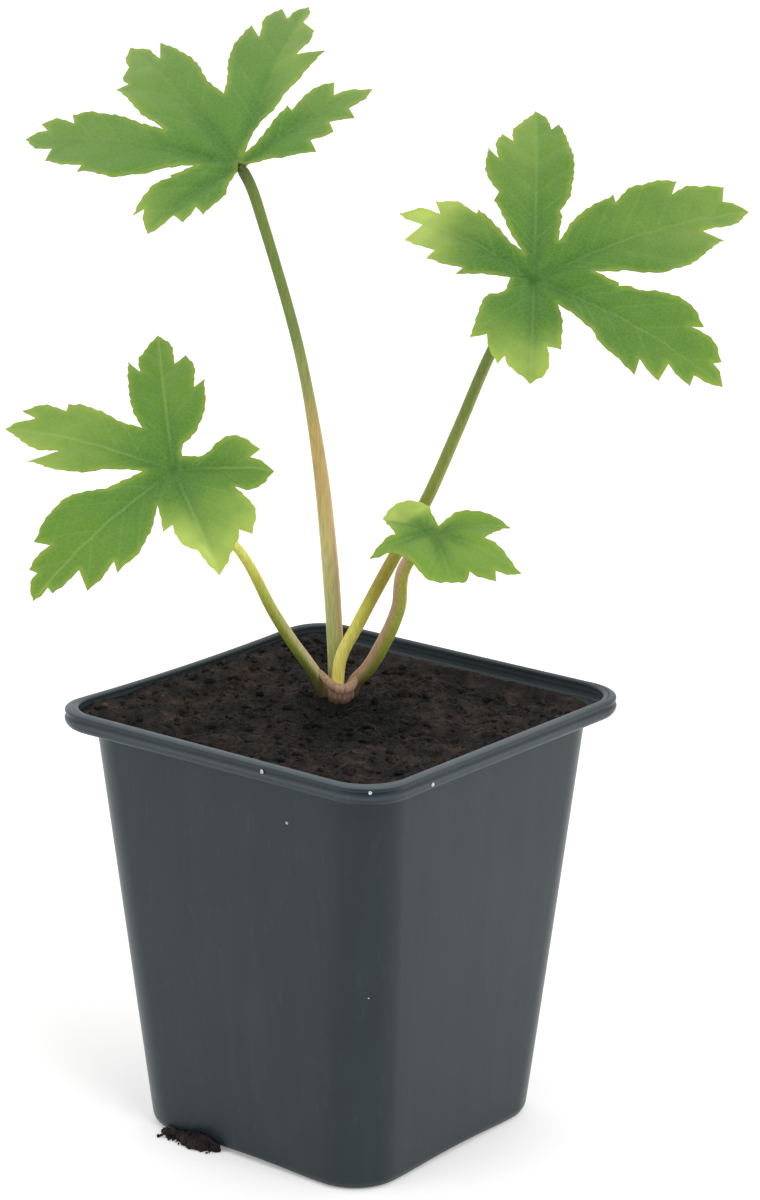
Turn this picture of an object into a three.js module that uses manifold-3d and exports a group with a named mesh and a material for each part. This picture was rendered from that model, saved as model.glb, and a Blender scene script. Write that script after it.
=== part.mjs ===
// A young masterwort in a square nursery pot: a thin moulded pot filled with peaty soil, a short
// crown standing in a plain hole in that soil, and four leaf stalks that each carry one palmate,
// five-lobed and toothed leaf. Some soil has run out under one side of the pot.
// Millimetres, +Z up. The origin is on the ground under the middle of the pot, whose sides face
// along X and Y.

import * as THREE from 'three';
import { mergeVertices } from 'three/addons/utils/BufferGeometryUtils.js';
import Module from 'manifold-3d';

const wasm = await Module();
wasm.setup();

// Driving dimensions of the pot
const RIM_SIDE = 90;
const POT_HEIGHT = 96;
const WALL_TOP_SIDE = 81;
const BASE_SIDE = 65;
const CORNER_RADIUS = 11;
const RIM_CORNER_RADIUS = 9.8;
const RIM_HEIGHT = 4.2;
const WALL = 1.2;
const SHELF = 0.8;
const BEAD_WIDTH = 2.2;
const BASE_BEVEL = 1.8;
const FLOOR_TOP = 2.2;
const SIDE_ARCH = 1.3;
const FOOT_LENGTH = 10;
const CENTRE_PAD_RADIUS = 7;
const ROUND_DRAIN = { radius: 4, offset: 17 };
const EDGE_DRAIN = { length: 12, width: 5, offset: 26 };

// Driving dimensions of the soil and the plant
const CLEARANCE = 0.3;
const SOIL_LEVEL = 92.2;
const SOIL_BANK = { level: 94.1, start: 28, edge: 37 };
const SOIL_HOLLOW = { x: -4.2, y: 3.1, depth: 1.8, spread: 30 };
const SOIL_CRUMB = { least: 0.8, most: 1.9, proud: 0.2 };
const SPILL_LUMP = { halfLength: 1.9, reach: 2, height: 1.2 };
const SPILL_SPREAD = 40;
const CROWN = { x: -10.5, y: 10.9, radius: 4.9, depth: 15, top: 95.8 };
const STALK_FOOT = 91;
const BLADE = 0.9;

// Modelling steps
const CORNER_STEPS = 6;
const SOIL_CELLS = 26;
const SOIL_CRUMBS = 42;
const STALK_SIDES = 10;
const STALK_STEP = 7;
const VEIN_SLANT = 0.5;
const LEAST_STEP = 0.2;
const RIB_STEP = 0.8;
const RIB_SOFTNESS = 1.5;
const TOOTH_BOW = { along: 0.06, out: 0.12 };

const wallUnderRim = POT_HEIGHT - RIM_HEIGHT;
const shelfTop = wallUnderRim + SHELF;
const radians = THREE.MathUtils.degToRad;

// Outside of the plain wall at a height
function wallHalf(z) {
  const share = (z - BASE_BEVEL) / (wallUnderRim - BASE_BEVEL);
  return THREE.MathUtils.lerp(BASE_SIDE, WALL_TOP_SIDE, share) / 2;
}

// Closed triangle mesh from points and index triples
function meshGeometry(points, triangles) {
  const geometry = new THREE.BufferGeometry();
  geometry.setAttribute('position', new THREE.Float32BufferAttribute(points.flatMap((p) => p.toArray()), 3));
  geometry.setIndex(triangles.flat());
  return geometry;
}

function toSolid(source) {
  const bare = source.clone();
  bare.deleteAttribute('normal');
  bare.deleteAttribute('uv');
  const geometry = mergeVertices(bare, 1e-4);
  return new wasm.Manifold(new wasm.Mesh({
    numProp: 3,
    vertProperties: Float32Array.from(geometry.attributes.position.array),
    triVerts: Uint32Array.from(geometry.index.array),
  }));
}

function toGeometry(solid) {
  const mesh = solid.getMesh();
  const geometry = new THREE.BufferGeometry();
  geometry.setAttribute('position', new THREE.BufferAttribute(Float32Array.from(mesh.vertProperties), 3));
  geometry.setIndex(new THREE.BufferAttribute(Uint32Array.from(mesh.triVerts), 1));
  return geometry;
}

// Skin over rings of equal point counts, closed at both ends by a fan
function loft(rings) {
  const count = rings[0].length;
  const points = rings.flat();
  const triangles = [];
  for (let level = 0; level + 1 < rings.length; level++) {
    for (let i = 0; i < count; i++) {
      const next = (i + 1) % count;
      const low = level * count;
      const high = low + count;
      triangles.push([low + i, low + next, high + next], [low + i, high + next, high + i]);
    }
  }
  const middle = (ring) => ring.reduce((sum, p) => sum.add(p), new THREE.Vector3()).divideScalar(count);
  const bottom = points.push(middle(rings[0])) - 1;
  const top = points.push(middle(rings.at(-1))) - 1;
  const last = (rings.length - 1) * count;
  for (let i = 0; i < count; i++) {
    const next = (i + 1) % count;
    triangles.push([bottom, next, i], [top, last + i, last + next]);
  }
  return meshGeometry(points, triangles);
}

// Level ring of a square with rounded corners, counter-clockwise from above
function squareRing(half, z, radius = CORNER_RADIUS) {
  const ring = [];
  for (let corner = 0; corner < 4; corner++) {
    const start = corner * Math.PI / 2;
    const diagonal = start + Math.PI / 4;
    const reach = (half - radius) * Math.SQRT2;
    for (let step = 0; step <= CORNER_STEPS; step++) {
      const angle = start + (step / CORNER_STEPS) * Math.PI / 2;
      ring.push(new THREE.Vector3(
        reach * Math.cos(diagonal) + radius * Math.cos(angle),
        reach * Math.sin(diagonal) + radius * Math.sin(angle),
        z,
      ));
    }
  }
  return ring;
}

function squareLoft(profile) {
  return toSolid(loft(profile.map(([half, z, radius]) => squareRing(half, z, radius))));
}

// Small repeatable random numbers from 0 to 1
function seededRandom(seed) {
  let state = seed;
  return () => {
    state = (state * 1664525 + 1013904223) % 4294967296;
    return state / 4294967296;
  };
}

// The pot: a moulded wall on four corner feet, with a stepped rim and a rolled top edge
function buildPot() {
  const rimHalf = RIM_SIDE / 2;
  const outside = squareLoft([
    [BASE_SIDE / 2 - BASE_BEVEL, 0, CORNER_RADIUS - BASE_BEVEL],
    [BASE_SIDE / 2 - BASE_BEVEL * 0.3, BASE_BEVEL * 0.3],
    [BASE_SIDE / 2, BASE_BEVEL],
    [WALL_TOP_SIDE / 2, wallUnderRim],
    [rimHalf - 0.4, wallUnderRim, RIM_CORNER_RADIUS],
    [rimHalf, wallUnderRim + 0.4, RIM_CORNER_RADIUS],
    [rimHalf, wallUnderRim + 1.4, RIM_CORNER_RADIUS],
    [rimHalf - 0.4, wallUnderRim + 1.9, RIM_CORNER_RADIUS],
    [rimHalf, POT_HEIGHT - 1.8, RIM_CORNER_RADIUS],
    [rimHalf, POT_HEIGHT - 0.6, RIM_CORNER_RADIUS],
    [rimHalf - 0.6, POT_HEIGHT, RIM_CORNER_RADIUS],
  ]);
  const throat = rimHalf - BEAD_WIDTH;
  const cavity = squareLoft([
    [wallHalf(FLOOR_TOP) - WALL - 1, FLOOR_TOP],
    [wallHalf(FLOOR_TOP + 1) - WALL, FLOOR_TOP + 1],
    [WALL_TOP_SIDE / 2 - WALL, shelfTop],
    [throat + 0.6, shelfTop],
    [throat + 0.6, POT_HEIGHT - 2],
    [throat, POT_HEIGHT - 1.5],
    [throat, POT_HEIGHT - 0.5],
    [throat + 0.5, POT_HEIGHT],
    [throat + 0.5, POT_HEIGHT + 1],
  ]);
  let pot = outside.subtract(cavity);

  // Each side stands off the ground in a low arch between the corner feet
  const span = BASE_SIDE - 2 * FOOT_LENGTH;
  const arch = new THREE.Shape();
  arch.moveTo(-span / 2, -1);
  arch.lineTo(span / 2, -1);
  arch.lineTo(span / 2, 0);
  arch.quadraticCurveTo(0, 2 * SIDE_ARCH, -span / 2, 0);
  const tunnel = new THREE.ExtrudeGeometry(arch, { depth: RIM_SIDE, bevelEnabled: false, curveSegments: 10 });
  tunnel.translate(0, 0, -RIM_SIDE / 2);
  tunnel.rotateX(Math.PI / 2);
  for (const turn of [0, Math.PI / 2]) pot = pot.subtract(toSolid(tunnel.clone().rotateZ(turn)));
  const pad = new THREE.CylinderGeometry(CENTRE_PAD_RADIUS, CENTRE_PAD_RADIUS, FLOOR_TOP - 0.5, 24);
  pad.rotateX(Math.PI / 2).translate(0, 0, (FLOOR_TOP - 0.5) / 2);
  pot = pot.add(toSolid(pad));

  // Four round drains towards the corners and four slots along the sides
  const round = new THREE.CylinderGeometry(ROUND_DRAIN.radius, ROUND_DRAIN.radius, 3 * FLOOR_TOP, 16);
  round.rotateX(Math.PI / 2);
  const slot = new THREE.Shape();
  const straight = (EDGE_DRAIN.length - EDGE_DRAIN.width) / 2;
  slot.absarc(straight, 0, EDGE_DRAIN.width / 2, -Math.PI / 2, Math.PI / 2);
  slot.absarc(-straight, 0, EDGE_DRAIN.width / 2, Math.PI / 2, 1.5 * Math.PI);
  const cut = { depth: 3 * FLOOR_TOP, bevelEnabled: false, curveSegments: 6 };
  const slotCut = new THREE.ExtrudeGeometry(slot, cut);
  slotCut.translate(0, EDGE_DRAIN.offset, -FLOOR_TOP);
  for (let side = 0; side < 4; side++) {
    const turn = side * Math.PI / 2;
    const hole = round.clone().translate(ROUND_DRAIN.offset, ROUND_DRAIN.offset, 0).rotateZ(turn);
    pot = pot.subtract(toSolid(hole)).subtract(toSolid(slotCut.clone().rotateZ(turn)));
  }
  return pot;
}

// Height of the soil: uneven, hollow in front of the crown and banked up against one side
function soilHeight(x, y) {
  const ripple = 0.5 * Math.sin(x / 6.3 + 1) * Math.cos(y / 5.1)
    + 0.35 * Math.sin(x / 2.9 + y / 4.1)
    + 0.3 * Math.cos(y / 2.3 - x / 5.7);
  const away = (x - SOIL_HOLLOW.x) ** 2 + (y - SOIL_HOLLOW.y) ** 2;
  const hollow = SOIL_HOLLOW.depth * Math.exp(-away / SOIL_HOLLOW.spread);
  const bank = THREE.MathUtils.smoothstep(-x, SOIL_BANK.start, SOIL_BANK.edge);
  return THREE.MathUtils.lerp(SOIL_LEVEL - hollow, SOIL_BANK.level, bank) + ripple * (1 - 0.6 * bank);
}

// Soil: fills the pot to just under its rim, with coarse crumbs on top
function buildSoil(holes) {
  const half = RIM_SIDE / 2;
  const across = SOIL_CELLS + 1;
  const points = [];
  for (let row = 0; row < across; row++) {
    for (let column = 0; column < across; column++) {
      const x = THREE.MathUtils.lerp(-half, half, column / SOIL_CELLS);
      const y = THREE.MathUtils.lerp(-half, half, row / SOIL_CELLS);
      points.push(new THREE.Vector3(x, y, soilHeight(x, y)));
    }
  }
  const top = [];
  for (let row = 0; row < SOIL_CELLS; row++) {
    for (let column = 0; column < SOIL_CELLS; column++) {
      const a = row * across + column;
      top.push([a, a + 1, a + across + 1], [a, a + across + 1, a + across]);
    }
  }
  let soil = toSolid(thicken(points, top, () => new THREE.Vector3(0, 0, -POT_HEIGHT)));

  const random = seededRandom(7);
  const crumbSpread = WALL_TOP_SIDE - 4 * WALL;
  for (let i = 0; i < SOIL_CRUMBS; i++) {
    const x = (random() - 0.5) * crumbSpread;
    const y = (random() - 0.5) * crumbSpread;
    const size = THREE.MathUtils.lerp(SOIL_CRUMB.least, SOIL_CRUMB.most, random());
    const crumb = new THREE.IcosahedronGeometry(size, 0);
    crumb.rotateX(6 * random()).rotateY(6 * random()).scale(1.3, 1, 0.8);
    crumb.translate(x, y, soilHeight(x, y) + SOIL_CRUMB.proud * size);
    soil = soil.add(toSolid(crumb));
  }

  const plug = squareLoft([
    [wallHalf(FLOOR_TOP) - WALL - 1 - CLEARANCE, FLOOR_TOP + CLEARANCE],
    [wallHalf(FLOOR_TOP + 1) - WALL - CLEARANCE, FLOOR_TOP + 1 + CLEARANCE],
    [WALL_TOP_SIDE / 2 - WALL - CLEARANCE, shelfTop],
    [WALL_TOP_SIDE / 2 - WALL - CLEARANCE, POT_HEIGHT + 2],
  ]);
  const bankReach = half - BEAD_WIDTH - CLEARANCE;
  const overShelf = squareLoft([[bankReach, shelfTop + CLEARANCE], [bankReach, POT_HEIGHT + 2]]);
  const bankSide = new THREE.BoxGeometry(half, RIM_SIDE, POT_HEIGHT);
  bankSide.translate(-half / 2 - SOIL_BANK.edge, 0, POT_HEIGHT);
  soil = soil.intersect(plug.add(overShelf.intersect(toSolid(bankSide))));
  for (const hole of holes) soil = soil.subtract(hole);
  return soil;
}

// Soil that has run out under the arch of one side, lying on the ground against the pot
function buildSpilledSoil() {
  const lumps = [
    [-21.5, 0.8, 0.7], [-19.5, 1, 0.6], [-17.2, 1.1, 0.9], [-15, 1.4, 1.6],
    [-12.6, 1.6, 1.9], [-10.4, 1.5, 1.5], [-8.4, 1.1, 0.8],
  ];
  const wallFace = -BASE_SIDE / 2 - CLEARANCE;
  let spill = null;
  lumps.forEach(([x, height, reach], index) => {
    const lump = new THREE.IcosahedronGeometry(1, 1).rotateZ(index);
    lump.scale(SPILL_LUMP.halfLength, SPILL_LUMP.reach * reach, SPILL_LUMP.height * height);
    lump.translate(x, wallFace, height * SPILL_LUMP.height / 2);
    spill = spill ? spill.add(toSolid(lump)) : toSolid(lump);
  });
  const keep = new THREE.BoxGeometry(SPILL_SPREAD, SPILL_SPREAD, SPILL_SPREAD);
  keep.translate(lumps[3][0], wallFace - SPILL_SPREAD / 2, SPILL_SPREAD / 2);
  return spill.intersect(toSolid(keep));
}

// Turned plug of the crown: a short stock in the soil that opens like a cup round the stalks
function crownPlug(grow) {
  const { radius, depth, top } = CROWN;
  const bottom = top - depth;
  const profile = [
    [0, bottom - grow],
    [radius * 0.5 + grow, bottom - grow],
    [radius * 0.95 + grow, bottom + depth * 0.5],
    [radius * 0.86 + grow, top - 3.5],
    [radius + grow, top - 1],
    [radius * 0.88 + grow, top + grow],
    [0, top + grow],
  ].map(([r, z]) => new THREE.Vector2(r, z));
  const plug = new THREE.LatheGeometry(profile, 20);
  plug.rotateX(Math.PI / 2).translate(CROWN.x, CROWN.y, 0);
  return toSolid(plug);
}

// Thin sheet of points and triangles, seen from above, given a thickness in one direction
function thicken(points, triangles, offset) {
  const count = points.length;
  const all = points.concat(points.map((p) => p.clone().add(offset(p))));
  const faces = [];
  const open = new Map();
  for (const [a, b, c] of triangles) {
    faces.push([a, b, c], [count + a, count + c, count + b]);
    for (const [from, to] of [[a, b], [b, c], [c, a]]) {
      if (!open.delete(`${to},${from}`)) open.set(`${from},${to}`, [from, to]);
    }
  }
  for (const [from, to] of open.values()) {
    faces.push([from, count + from, count + to], [from, count + to, to]);
  }
  return meshGeometry(all, faces);
}

// Stalks, from the crown up to the middle of their leaf: points passed through, and radius at both ends
const STALKS = {
  left_high: {
    route: [[-12.1, 12.8, STALK_FOOT], [-11.8, 11.8, 104], [-11.9, 10, 122.5], [-12.9, 7.4, 145.5],
      [-14.9, 3, 170], [-19.3, -3.6, 197.5], [-21, -5.6, 205.4]],
    foot: 1.7, neck: 1.05, colour: 0x9a9b58,
  },
  right_high: {
    route: [[-8.9, 9, STALK_FOOT], [-8.4, 9.6, 101], [-5.6, 12.2, 109], [0.4, 16.4, 123.5],
      [6.5, 20.1, 137], [13.6, 21.7, 153.5], [22.4, 22.1, 172.5]],
    foot: 1.5, neck: 0.95, colour: 0xa8a63a,
  },
  left_low: {
    route: [[-12.4, 9.3, STALK_FOOT], [-13.3, 7.8, 96], [-16.1, 2.1, 105.5], [-17.7, -2.4, 113],
      [-18.9, -9.7, 125.5], [-21.4, -18.4, 136.7]],
    foot: 1.55, neck: 0.75, colour: 0x9fa540,
  },
  young: {
    route: [[-8.6, 12.5, STALK_FOOT], [-7, 12.8, 95.2], [-4.1, 13.4, 98.5], [-0.7, 13.6, 103.7],
      [4.8, 12.8, 114], [8.4, 10, 124]],
    foot: 1.6, neck: 1.35, colour: 0x8a8f45,
  },
};

// Leaves. Aims are degrees round the middle of the leaf and lobes follow each other counter-clockwise
// from the gap at the stalk. A side of a lobe is a list of points [along its rib, away from the rib]:
// a third number makes the point a tooth, cut back by that much behind its tip, and a fourth says
// how far towards the middle of the leaf the cut lies. Gaps are [aim, distance from the middle]: as
// many as there are lobes where the last lobe meets the first, one more where the leaf is open.
const LEAVES = {
  left_high: {
    middle: [-22.4, -7.9, 210.3], turn: 24, tilt: 36, rise: 0.2, droop: 0.26, fold: 0.12, colour: 0x6b9a45,
    gaps: [[4, 2], [85, 2.6], [111.4, 19], [160, 18.4], [196.8, 8.6], [274, 2.5]],
    lobes: [
      {
        aim: 48, length: 34.5,
        right: [[4.7, 3.7], [6.6, 6.3], [13, 10.6, 3.5, -1], [19.5, 7.5, 3, -1], [25.5, 6.5, 3.5, -1]],
        left: [[6.2, 2], [11.4, 4], [17, 6, 2], [29, 6, 3.5, 2.5]],
      },
      {
        aim: 86.5, length: 51.5,
        right: [[9.7, 1.5], [15.6, 3.9], [24.5, 6.8], [33.5, 9.5, 6, 1.5], [41.5, 4.5, 3.5, -3]],
        left: [[22.2, 9], [30, 10.7], [41, 9.5, 3, 4], [49.5, 5.5, 2.5, 4]],
      },
      {
        aim: 133, length: 49,
        right: [[24.2, 6.6], [31.7, 7.6], [45, 5.5, 3, 6]],
        left: [[23.8, 10], [35.5, 10, 3], [38.5, 7, 3, -3]],
      },
      {
        aim: 172, length: 50,
        right: [[24.7, 5.6], [35.2, 7.2], [41, 6.5, 2.5, 1.5], [48, 4.5, 2, 2.5]],
        left: [[12.7, 5.6], [17.8, 9.3], [23.5, 11.7], [32, 11, 2], [41.5, 7.5, 3.5]],
      },
      {
        aim: 233, length: 25,
        right: [[12.4, 7.3, 0.8, 0], [18.7, 7.8], [24, 6, 1, 2.5]],
        left: [[5.5, 4], [8.5, 6.5], [15, 7, 3, 0.5], [19, 5, 3.5]],
      },
    ],
  },
  right_high: {
    middle: [31.7, 23.1, 188.4], turn: 47, tilt: 36, rise: 0.2, droop: 0.28, fold: 0.12, colour: 0x6f9c46,
    gaps: [[187, 5.15], [292.8, 9.3], [358.5, 12.3], [54.1, 10.9], [102.8, 6.5]],
    lobes: [
      {
        aim: 261, length: 27.5,
        right: [[5.5, 6.5], [8, 10], [19, 13, 3.5, 1], [24, 7, 1.5, 2], [25, 4]],
        left: [[11, 6], [19.5, 6, 3, 0.5], [25.5, 3]],
      },
      {
        aim: 322, length: 45.5,
        right: [[16.9, 6.9], [20.2, 9.6], [23.7, 10.6], [30.6, 12.2, 4.3, 1.2], [35, 9.6, 5.5, 0.6],
          [40.4, 5.4, 3, 0.7]],
        left: [[15.8, 7.5, 0.8, -0.5], [20.3, 8.8], [24, 10.6], [30.3, 12], [35.5, 9.2, 2, 2.5],
          [39.5, 7.4], [42.3, 5.2, 1.7, 1.2]],
      },
      {
        aim: 23.5, length: 55,
        right: [[15.9, 7.7], [19.4, 10], [23.8, 12.3], [31, 12.5], [42.8, 7.6, 3.9, 3]],
        left: [[15.4, 9.2], [26.5, 11.5, 2, 0.6], [35, 12.2], [43, 11.3, 3.5, 3.6], [47.5, 9],
          [53.5, 7.8, 3.9, 3]],
      },
      {
        aim: 81, length: 54,
        right: [[16.5, 5.6, 0.6, -1.5], [25.3, 7.6], [32.6, 8.2], [41, 7.1], [48.8, 5.1, 1.7, 2.2]],
        left: [[12, 6], [19, 9, 1, -2.5], [28.5, 11.2], [35.5, 10.6, 2.4, 3.2], [41.8, 7.5, 2.5, 2],
          [47, 3.9]],
      },
      {
        aim: 139, length: 33.5,
        right: [[9.5, 5], [19.5, 8.5, 1.5, 0.5], [28.5, 6, 2.5, 3]],
        left: [[8, 6.5], [12.5, 11, 2.5], [20, 10.5, 3], [27, 8, 6.5]],
      },
    ],
  },
  left_low: {
    middle: [-24, -27.1, 148.2], turn: 31, tilt: 38, rise: 0.18, droop: 0.26, fold: 0.12, colour: 0x74a24a,
    gaps: [[339.5, 14.7], [63, 3.5], [130, 12], [195.6, 6.2], [262, 11]],
    lobes: [
      {
        aim: 5.5, length: 21,
        right: [[16.3, 6.3], [18.7, 4.6]],
        left: [[6.5, 3.5], [9.5, 6.5], [13, 8], [18, 5, 2.5, 2]],
      },
      {
        aim: 103.5, length: 40,
        right: [[5, 2.5], [8.5, 6], [14, 8.5], [22, 9, 2.5, 2], [31, 5.5, 2.5, 2]],
        left: [[15.5, 7], [23, 7.5], [31.5, 7, 2.5, 4], [34.5, 3.5]],
      },
      {
        aim: 163.5, length: 40,
        right: [[15, 7], [22, 8.5], [28.5, 8.5, 2, 0.5], [38.5, 5.5, 2, 4.5]],
        left: [[11.9, 5.3], [17.4, 8.4], [23.5, 9.6], [30, 8.5, 5, 5.5], [31.5, 4.5]],
      },
      {
        aim: 233, length: 41.5,
        right: [[13.5, 6.5], [18.5, 10], [24.5, 11], [32, 9, 3.5, 1.5], [37, 5.5, 2, 0.5], [40, 2.5]],
        left: [[15.5, 9.5], [21.5, 11.5], [27, 11, 2.5, 1.5], [33.5, 8.5, 5, 2.5], [38, 2.5, 2, 0.5]],
      },
      {
        aim: 297, length: 28.5,
        right: [[15.5, 7.5, 2.5, 1], [20, 4.5], [22, 2.5], [25.5, 1.5]],
        left: [[15.2, 11.8], [19.2, 12], [22.8, 9.6, 2.2, 2.2], [24, 5], [27, 2.5]],
      },
    ],
  },
  young: {
    middle: [16.6, 9.5, 134.5], turn: 39, tilt: 33, rise: 0.15, droop: 0.35, fold: 0.15, colour: 0x7ba24b,
    gaps: [[241.8, 10.5], [304.9, 13.3], [350, 11], [53, 2], [189, 8]],
    lobes: [
      { aim: 287, length: 13, right: [[11, 5.3], [12.5, 3]], left: [[13.8, 3.2]] },
      {
        aim: 335.5, length: 20.4,
        right: [[14, 7.6], [17.3, 6.4, 2.7, 1.3]],
        left: [[13, 3], [15, 2.5], [18, 1]],
      },
      { aim: 13, length: 17, right: [[13.5, 2]], left: [[4, 3], [6, 4], [9.5, 4], [13, 3.5]] },
      {
        aim: 152, length: 12,
        right: [[2, 4], [4, 5.5], [6.5, 6], [9.5, 5], [11.5, 4]],
        left: [[9.5, 2.5]],
      },
      { aim: 202, length: 14.4, right: [[8.9, 2.2], [13, 1]], left: [[10.4, 2], [13, 1.2]] },
    ],
  },
};

// Point of a blade in the leaf's own frame, from distances along a lobe's rib and to its left
function bladePoint(leaf, lobe, along, across) {
  const aim = radians(lobe.aim);
  const share = along / lobe.length;
  const lift = lobe.length * share * (leaf.rise - leaf.droop * share);
  const fold = leaf.fold * (Math.hypot(across, RIB_SOFTNESS) - RIB_SOFTNESS);
  return new THREE.Vector3(
    along * Math.cos(aim) - across * Math.sin(aim),
    along * Math.sin(aim) + across * Math.cos(aim),
    lift + fold,
  );
}

// Outline of one side of a lobe as [along, across] pairs, from the gap at its foot to its tip
function sideOutline(lobe, gap, side) {
  const [gapAim, gapRadius] = gap;
  const swing = radians(gapAim - lobe.aim);
  const outline = [[gapRadius * Math.cos(swing), gapRadius * Math.sin(swing)]];
  const sign = side === 'left' ? 1 : -1;
  const points = [...lobe[side], [lobe.length, 0]];
  let behindTooth = false;
  for (const [along, across, cut = 0, back = 0.2] of points) {
    const [fromAlong, fromAcross] = outline.at(-1);
    if (behindTooth) {
      // The edge that leaves a cut bows outwards on its way to the next tooth
      const length = Math.hypot(along - fromAlong, sign * across - fromAcross);
      outline.push([
        (along + fromAlong) / 2 + TOOTH_BOW.along * length,
        (sign * across + fromAcross) / 2 + sign * TOOTH_BOW.out * length,
      ]);
    }
    outline.push([along, sign * across]);
    if (cut > 0) outline.push([along - back, sign * (across - cut)]);
    behindTooth = cut > 0;
  }
  return outline;
}

// Triangles between two chains of points, each point given with its distance along the rib
function stitch(inner, outer, side) {
  const triangles = [];
  let i = 0;
  let o = 0;
  while (i + 1 < inner.length || o + 1 < outer.length) {
    const stepInner = o + 1 === outer.length
      || (i + 1 < inner.length && inner[i + 1].station <= outer[o + 1].station);
    const third = stepInner ? inner[i + 1] : outer[o + 1];
    const corners = [inner[i].point, third.point, outer[o].point];
    if (side === 'right') corners.reverse();
    triangles.push(corners);
    if (stepInner) i += 1;
    else o += 1;
  }
  return triangles;
}

// One leaf: five lobes round its middle, joined along the lines from the middle to the gaps
function buildLeaf(leaf) {
  const triangles = [];
  const closed = leaf.gaps.length === leaf.lobes.length;
  const shared = (index, fraction) => {
    const [aim, radius] = leaf.gaps[index];
    const before = closed ? leaf.lobes.at(index - 1) : leaf.lobes[index - 1];
    const owners = [before, leaf.lobes[index]].filter(Boolean);
    const sum = new THREE.Vector3();
    for (const lobe of owners) {
      const swing = radians(aim - lobe.aim);
      const reach = radius * fraction;
      sum.add(bladePoint(leaf, lobe, reach * Math.cos(swing), reach * Math.sin(swing)));
    }
    return sum.divideScalar(owners.length);
  };
  leaf.lobes.forEach((lobe, index) => {
    const sides = {};
    const stations = new Set([0, lobe.length]);
    for (const side of ['right', 'left']) {
      const gapIndex = (side === 'right' ? index : index + 1) % leaf.gaps.length;
      const outline = sideOutline(lobe, leaf.gaps[gapIndex], side);
      let previous = 0;
      const edge = outline.map(([along, across], k) => {
        const last = k === outline.length - 1;
        const foot = Math.min(along - VEIN_SLANT * Math.abs(across), lobe.length - LEAST_STEP);
        const veinFoot = Math.max(previous + LEAST_STEP, foot);
        const station = last ? lobe.length : k === 0 ? 0 : veinFoot;
        previous = station;
        const halfway = bladePoint(leaf, lobe, (along + station) / 2, across / 2);
        return {
          station,
          rim: { station, point: k === 0 ? shared(gapIndex, 1) : bladePoint(leaf, lobe, along, across) },
          half: { station, point: k === 0 ? shared(gapIndex, 0.5) : halfway },
        };
      });
      edge.slice(1, -1).forEach(({ station }) => stations.add(station));
      sides[side] = edge;
    }
    const wellApart = (station, k, all) => k === 0 || k === all.length - 1
      || (station - all[k - 1] > RIB_STEP && all.at(-1) - station > RIB_STEP);
    const rib = [...stations].sort((a, b) => a - b).filter(wellApart)
      .map((station) => ({ station, point: bladePoint(leaf, lobe, station, 0) }));
    for (const side of ['right', 'left']) {
      const rim = sides[side].map((e) => e.rim);
      const half = sides[side].slice(0, -1).map((e) => e.half).concat(rim.at(-1));
      triangles.push(...stitch(rib, half, side), ...stitch(half, rim, side));
    }
  });
  const soup = meshGeometry(triangles.flat(), []);
  soup.setIndex(triangles.flat().map((_, i) => i));
  const sheet = mergeVertices(soup, 1e-4);
  const points = [];
  for (let i = 0; i < sheet.attributes.position.count; i++) {
    points.push(new THREE.Vector3().fromBufferAttribute(sheet.attributes.position, i));
  }
  const corners = Array.from(sheet.index.array);
  const faces = [];
  for (let i = 0; i < corners.length; i += 3) {
    const [a, b, c] = corners.slice(i, i + 3);
    if (a !== b && b !== c && c !== a) faces.push([a, b, c]);
  }
  return thicken(points, faces, () => new THREE.Vector3(0, 0, -BLADE));
}

// Where a leaf sits: its middle, turned about the vertical and tilted forwards
function leafPlace(leaf) {
  const turn = new THREE.Quaternion().setFromAxisAngle(new THREE.Vector3(0, 0, 1), radians(leaf.turn));
  const tilt = new THREE.Quaternion().setFromAxisAngle(new THREE.Vector3(1, 0, 0), radians(leaf.tilt));
  return new THREE.Matrix4().compose(
    new THREE.Vector3(...leaf.middle),
    turn.multiply(tilt),
    new THREE.Vector3(1, 1, 1),
  );
}

// Tapered stalk along its route, grown by a clearance when it is used as a cutter
function stalkTube(stalk, leaf, grow = 0) {
  const route = stalk.route.map((p) => new THREE.Vector3(...p));
  route.push(new THREE.Vector3(...leaf.middle));
  const curve = new THREE.CatmullRomCurve3(route, false, 'centripetal');
  const steps = Math.round(curve.getLength() / STALK_STEP);
  const frames = curve.computeFrenetFrames(steps);
  const rings = [];
  for (let step = 0; step <= steps; step++) {
    const share = step / steps;
    const centre = curve.getPointAt(share);
    if (step === 0) centre.addScaledVector(frames.tangents[0], -grow);
    const radius = THREE.MathUtils.lerp(stalk.foot, stalk.neck, share) + grow;
    const ring = [];
    for (let side = 0; side < STALK_SIDES; side++) {
      const angle = side / STALK_SIDES * 2 * Math.PI;
      ring.push(centre.clone()
        .addScaledVector(frames.normals[step], radius * Math.cos(angle))
        .addScaledVector(frames.binormals[step], radius * Math.sin(angle)));
    }
    rings.push(ring);
  }
  return toSolid(loft(rings));
}

// Stalk cut off square to its leaf, just under the blade
function buildStalk(stalk, leaf) {
  const block = new THREE.BoxGeometry(30, 30, 30);
  block.translate(0, 0, 15 - BLADE - CLEARANCE).applyMatrix4(leafPlace(leaf));
  return stalkTube(stalk, leaf).subtract(toSolid(block));
}

function addPiece(group, name, geometry, colour, roughness) {
  const look = { color: colour, roughness, metalness: 0, flatShading: true };
  const mesh = new THREE.Mesh(geometry, new THREE.MeshStandardMaterial(look));
  mesh.name = name;
  group.add(mesh);
  return mesh;
}

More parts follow.
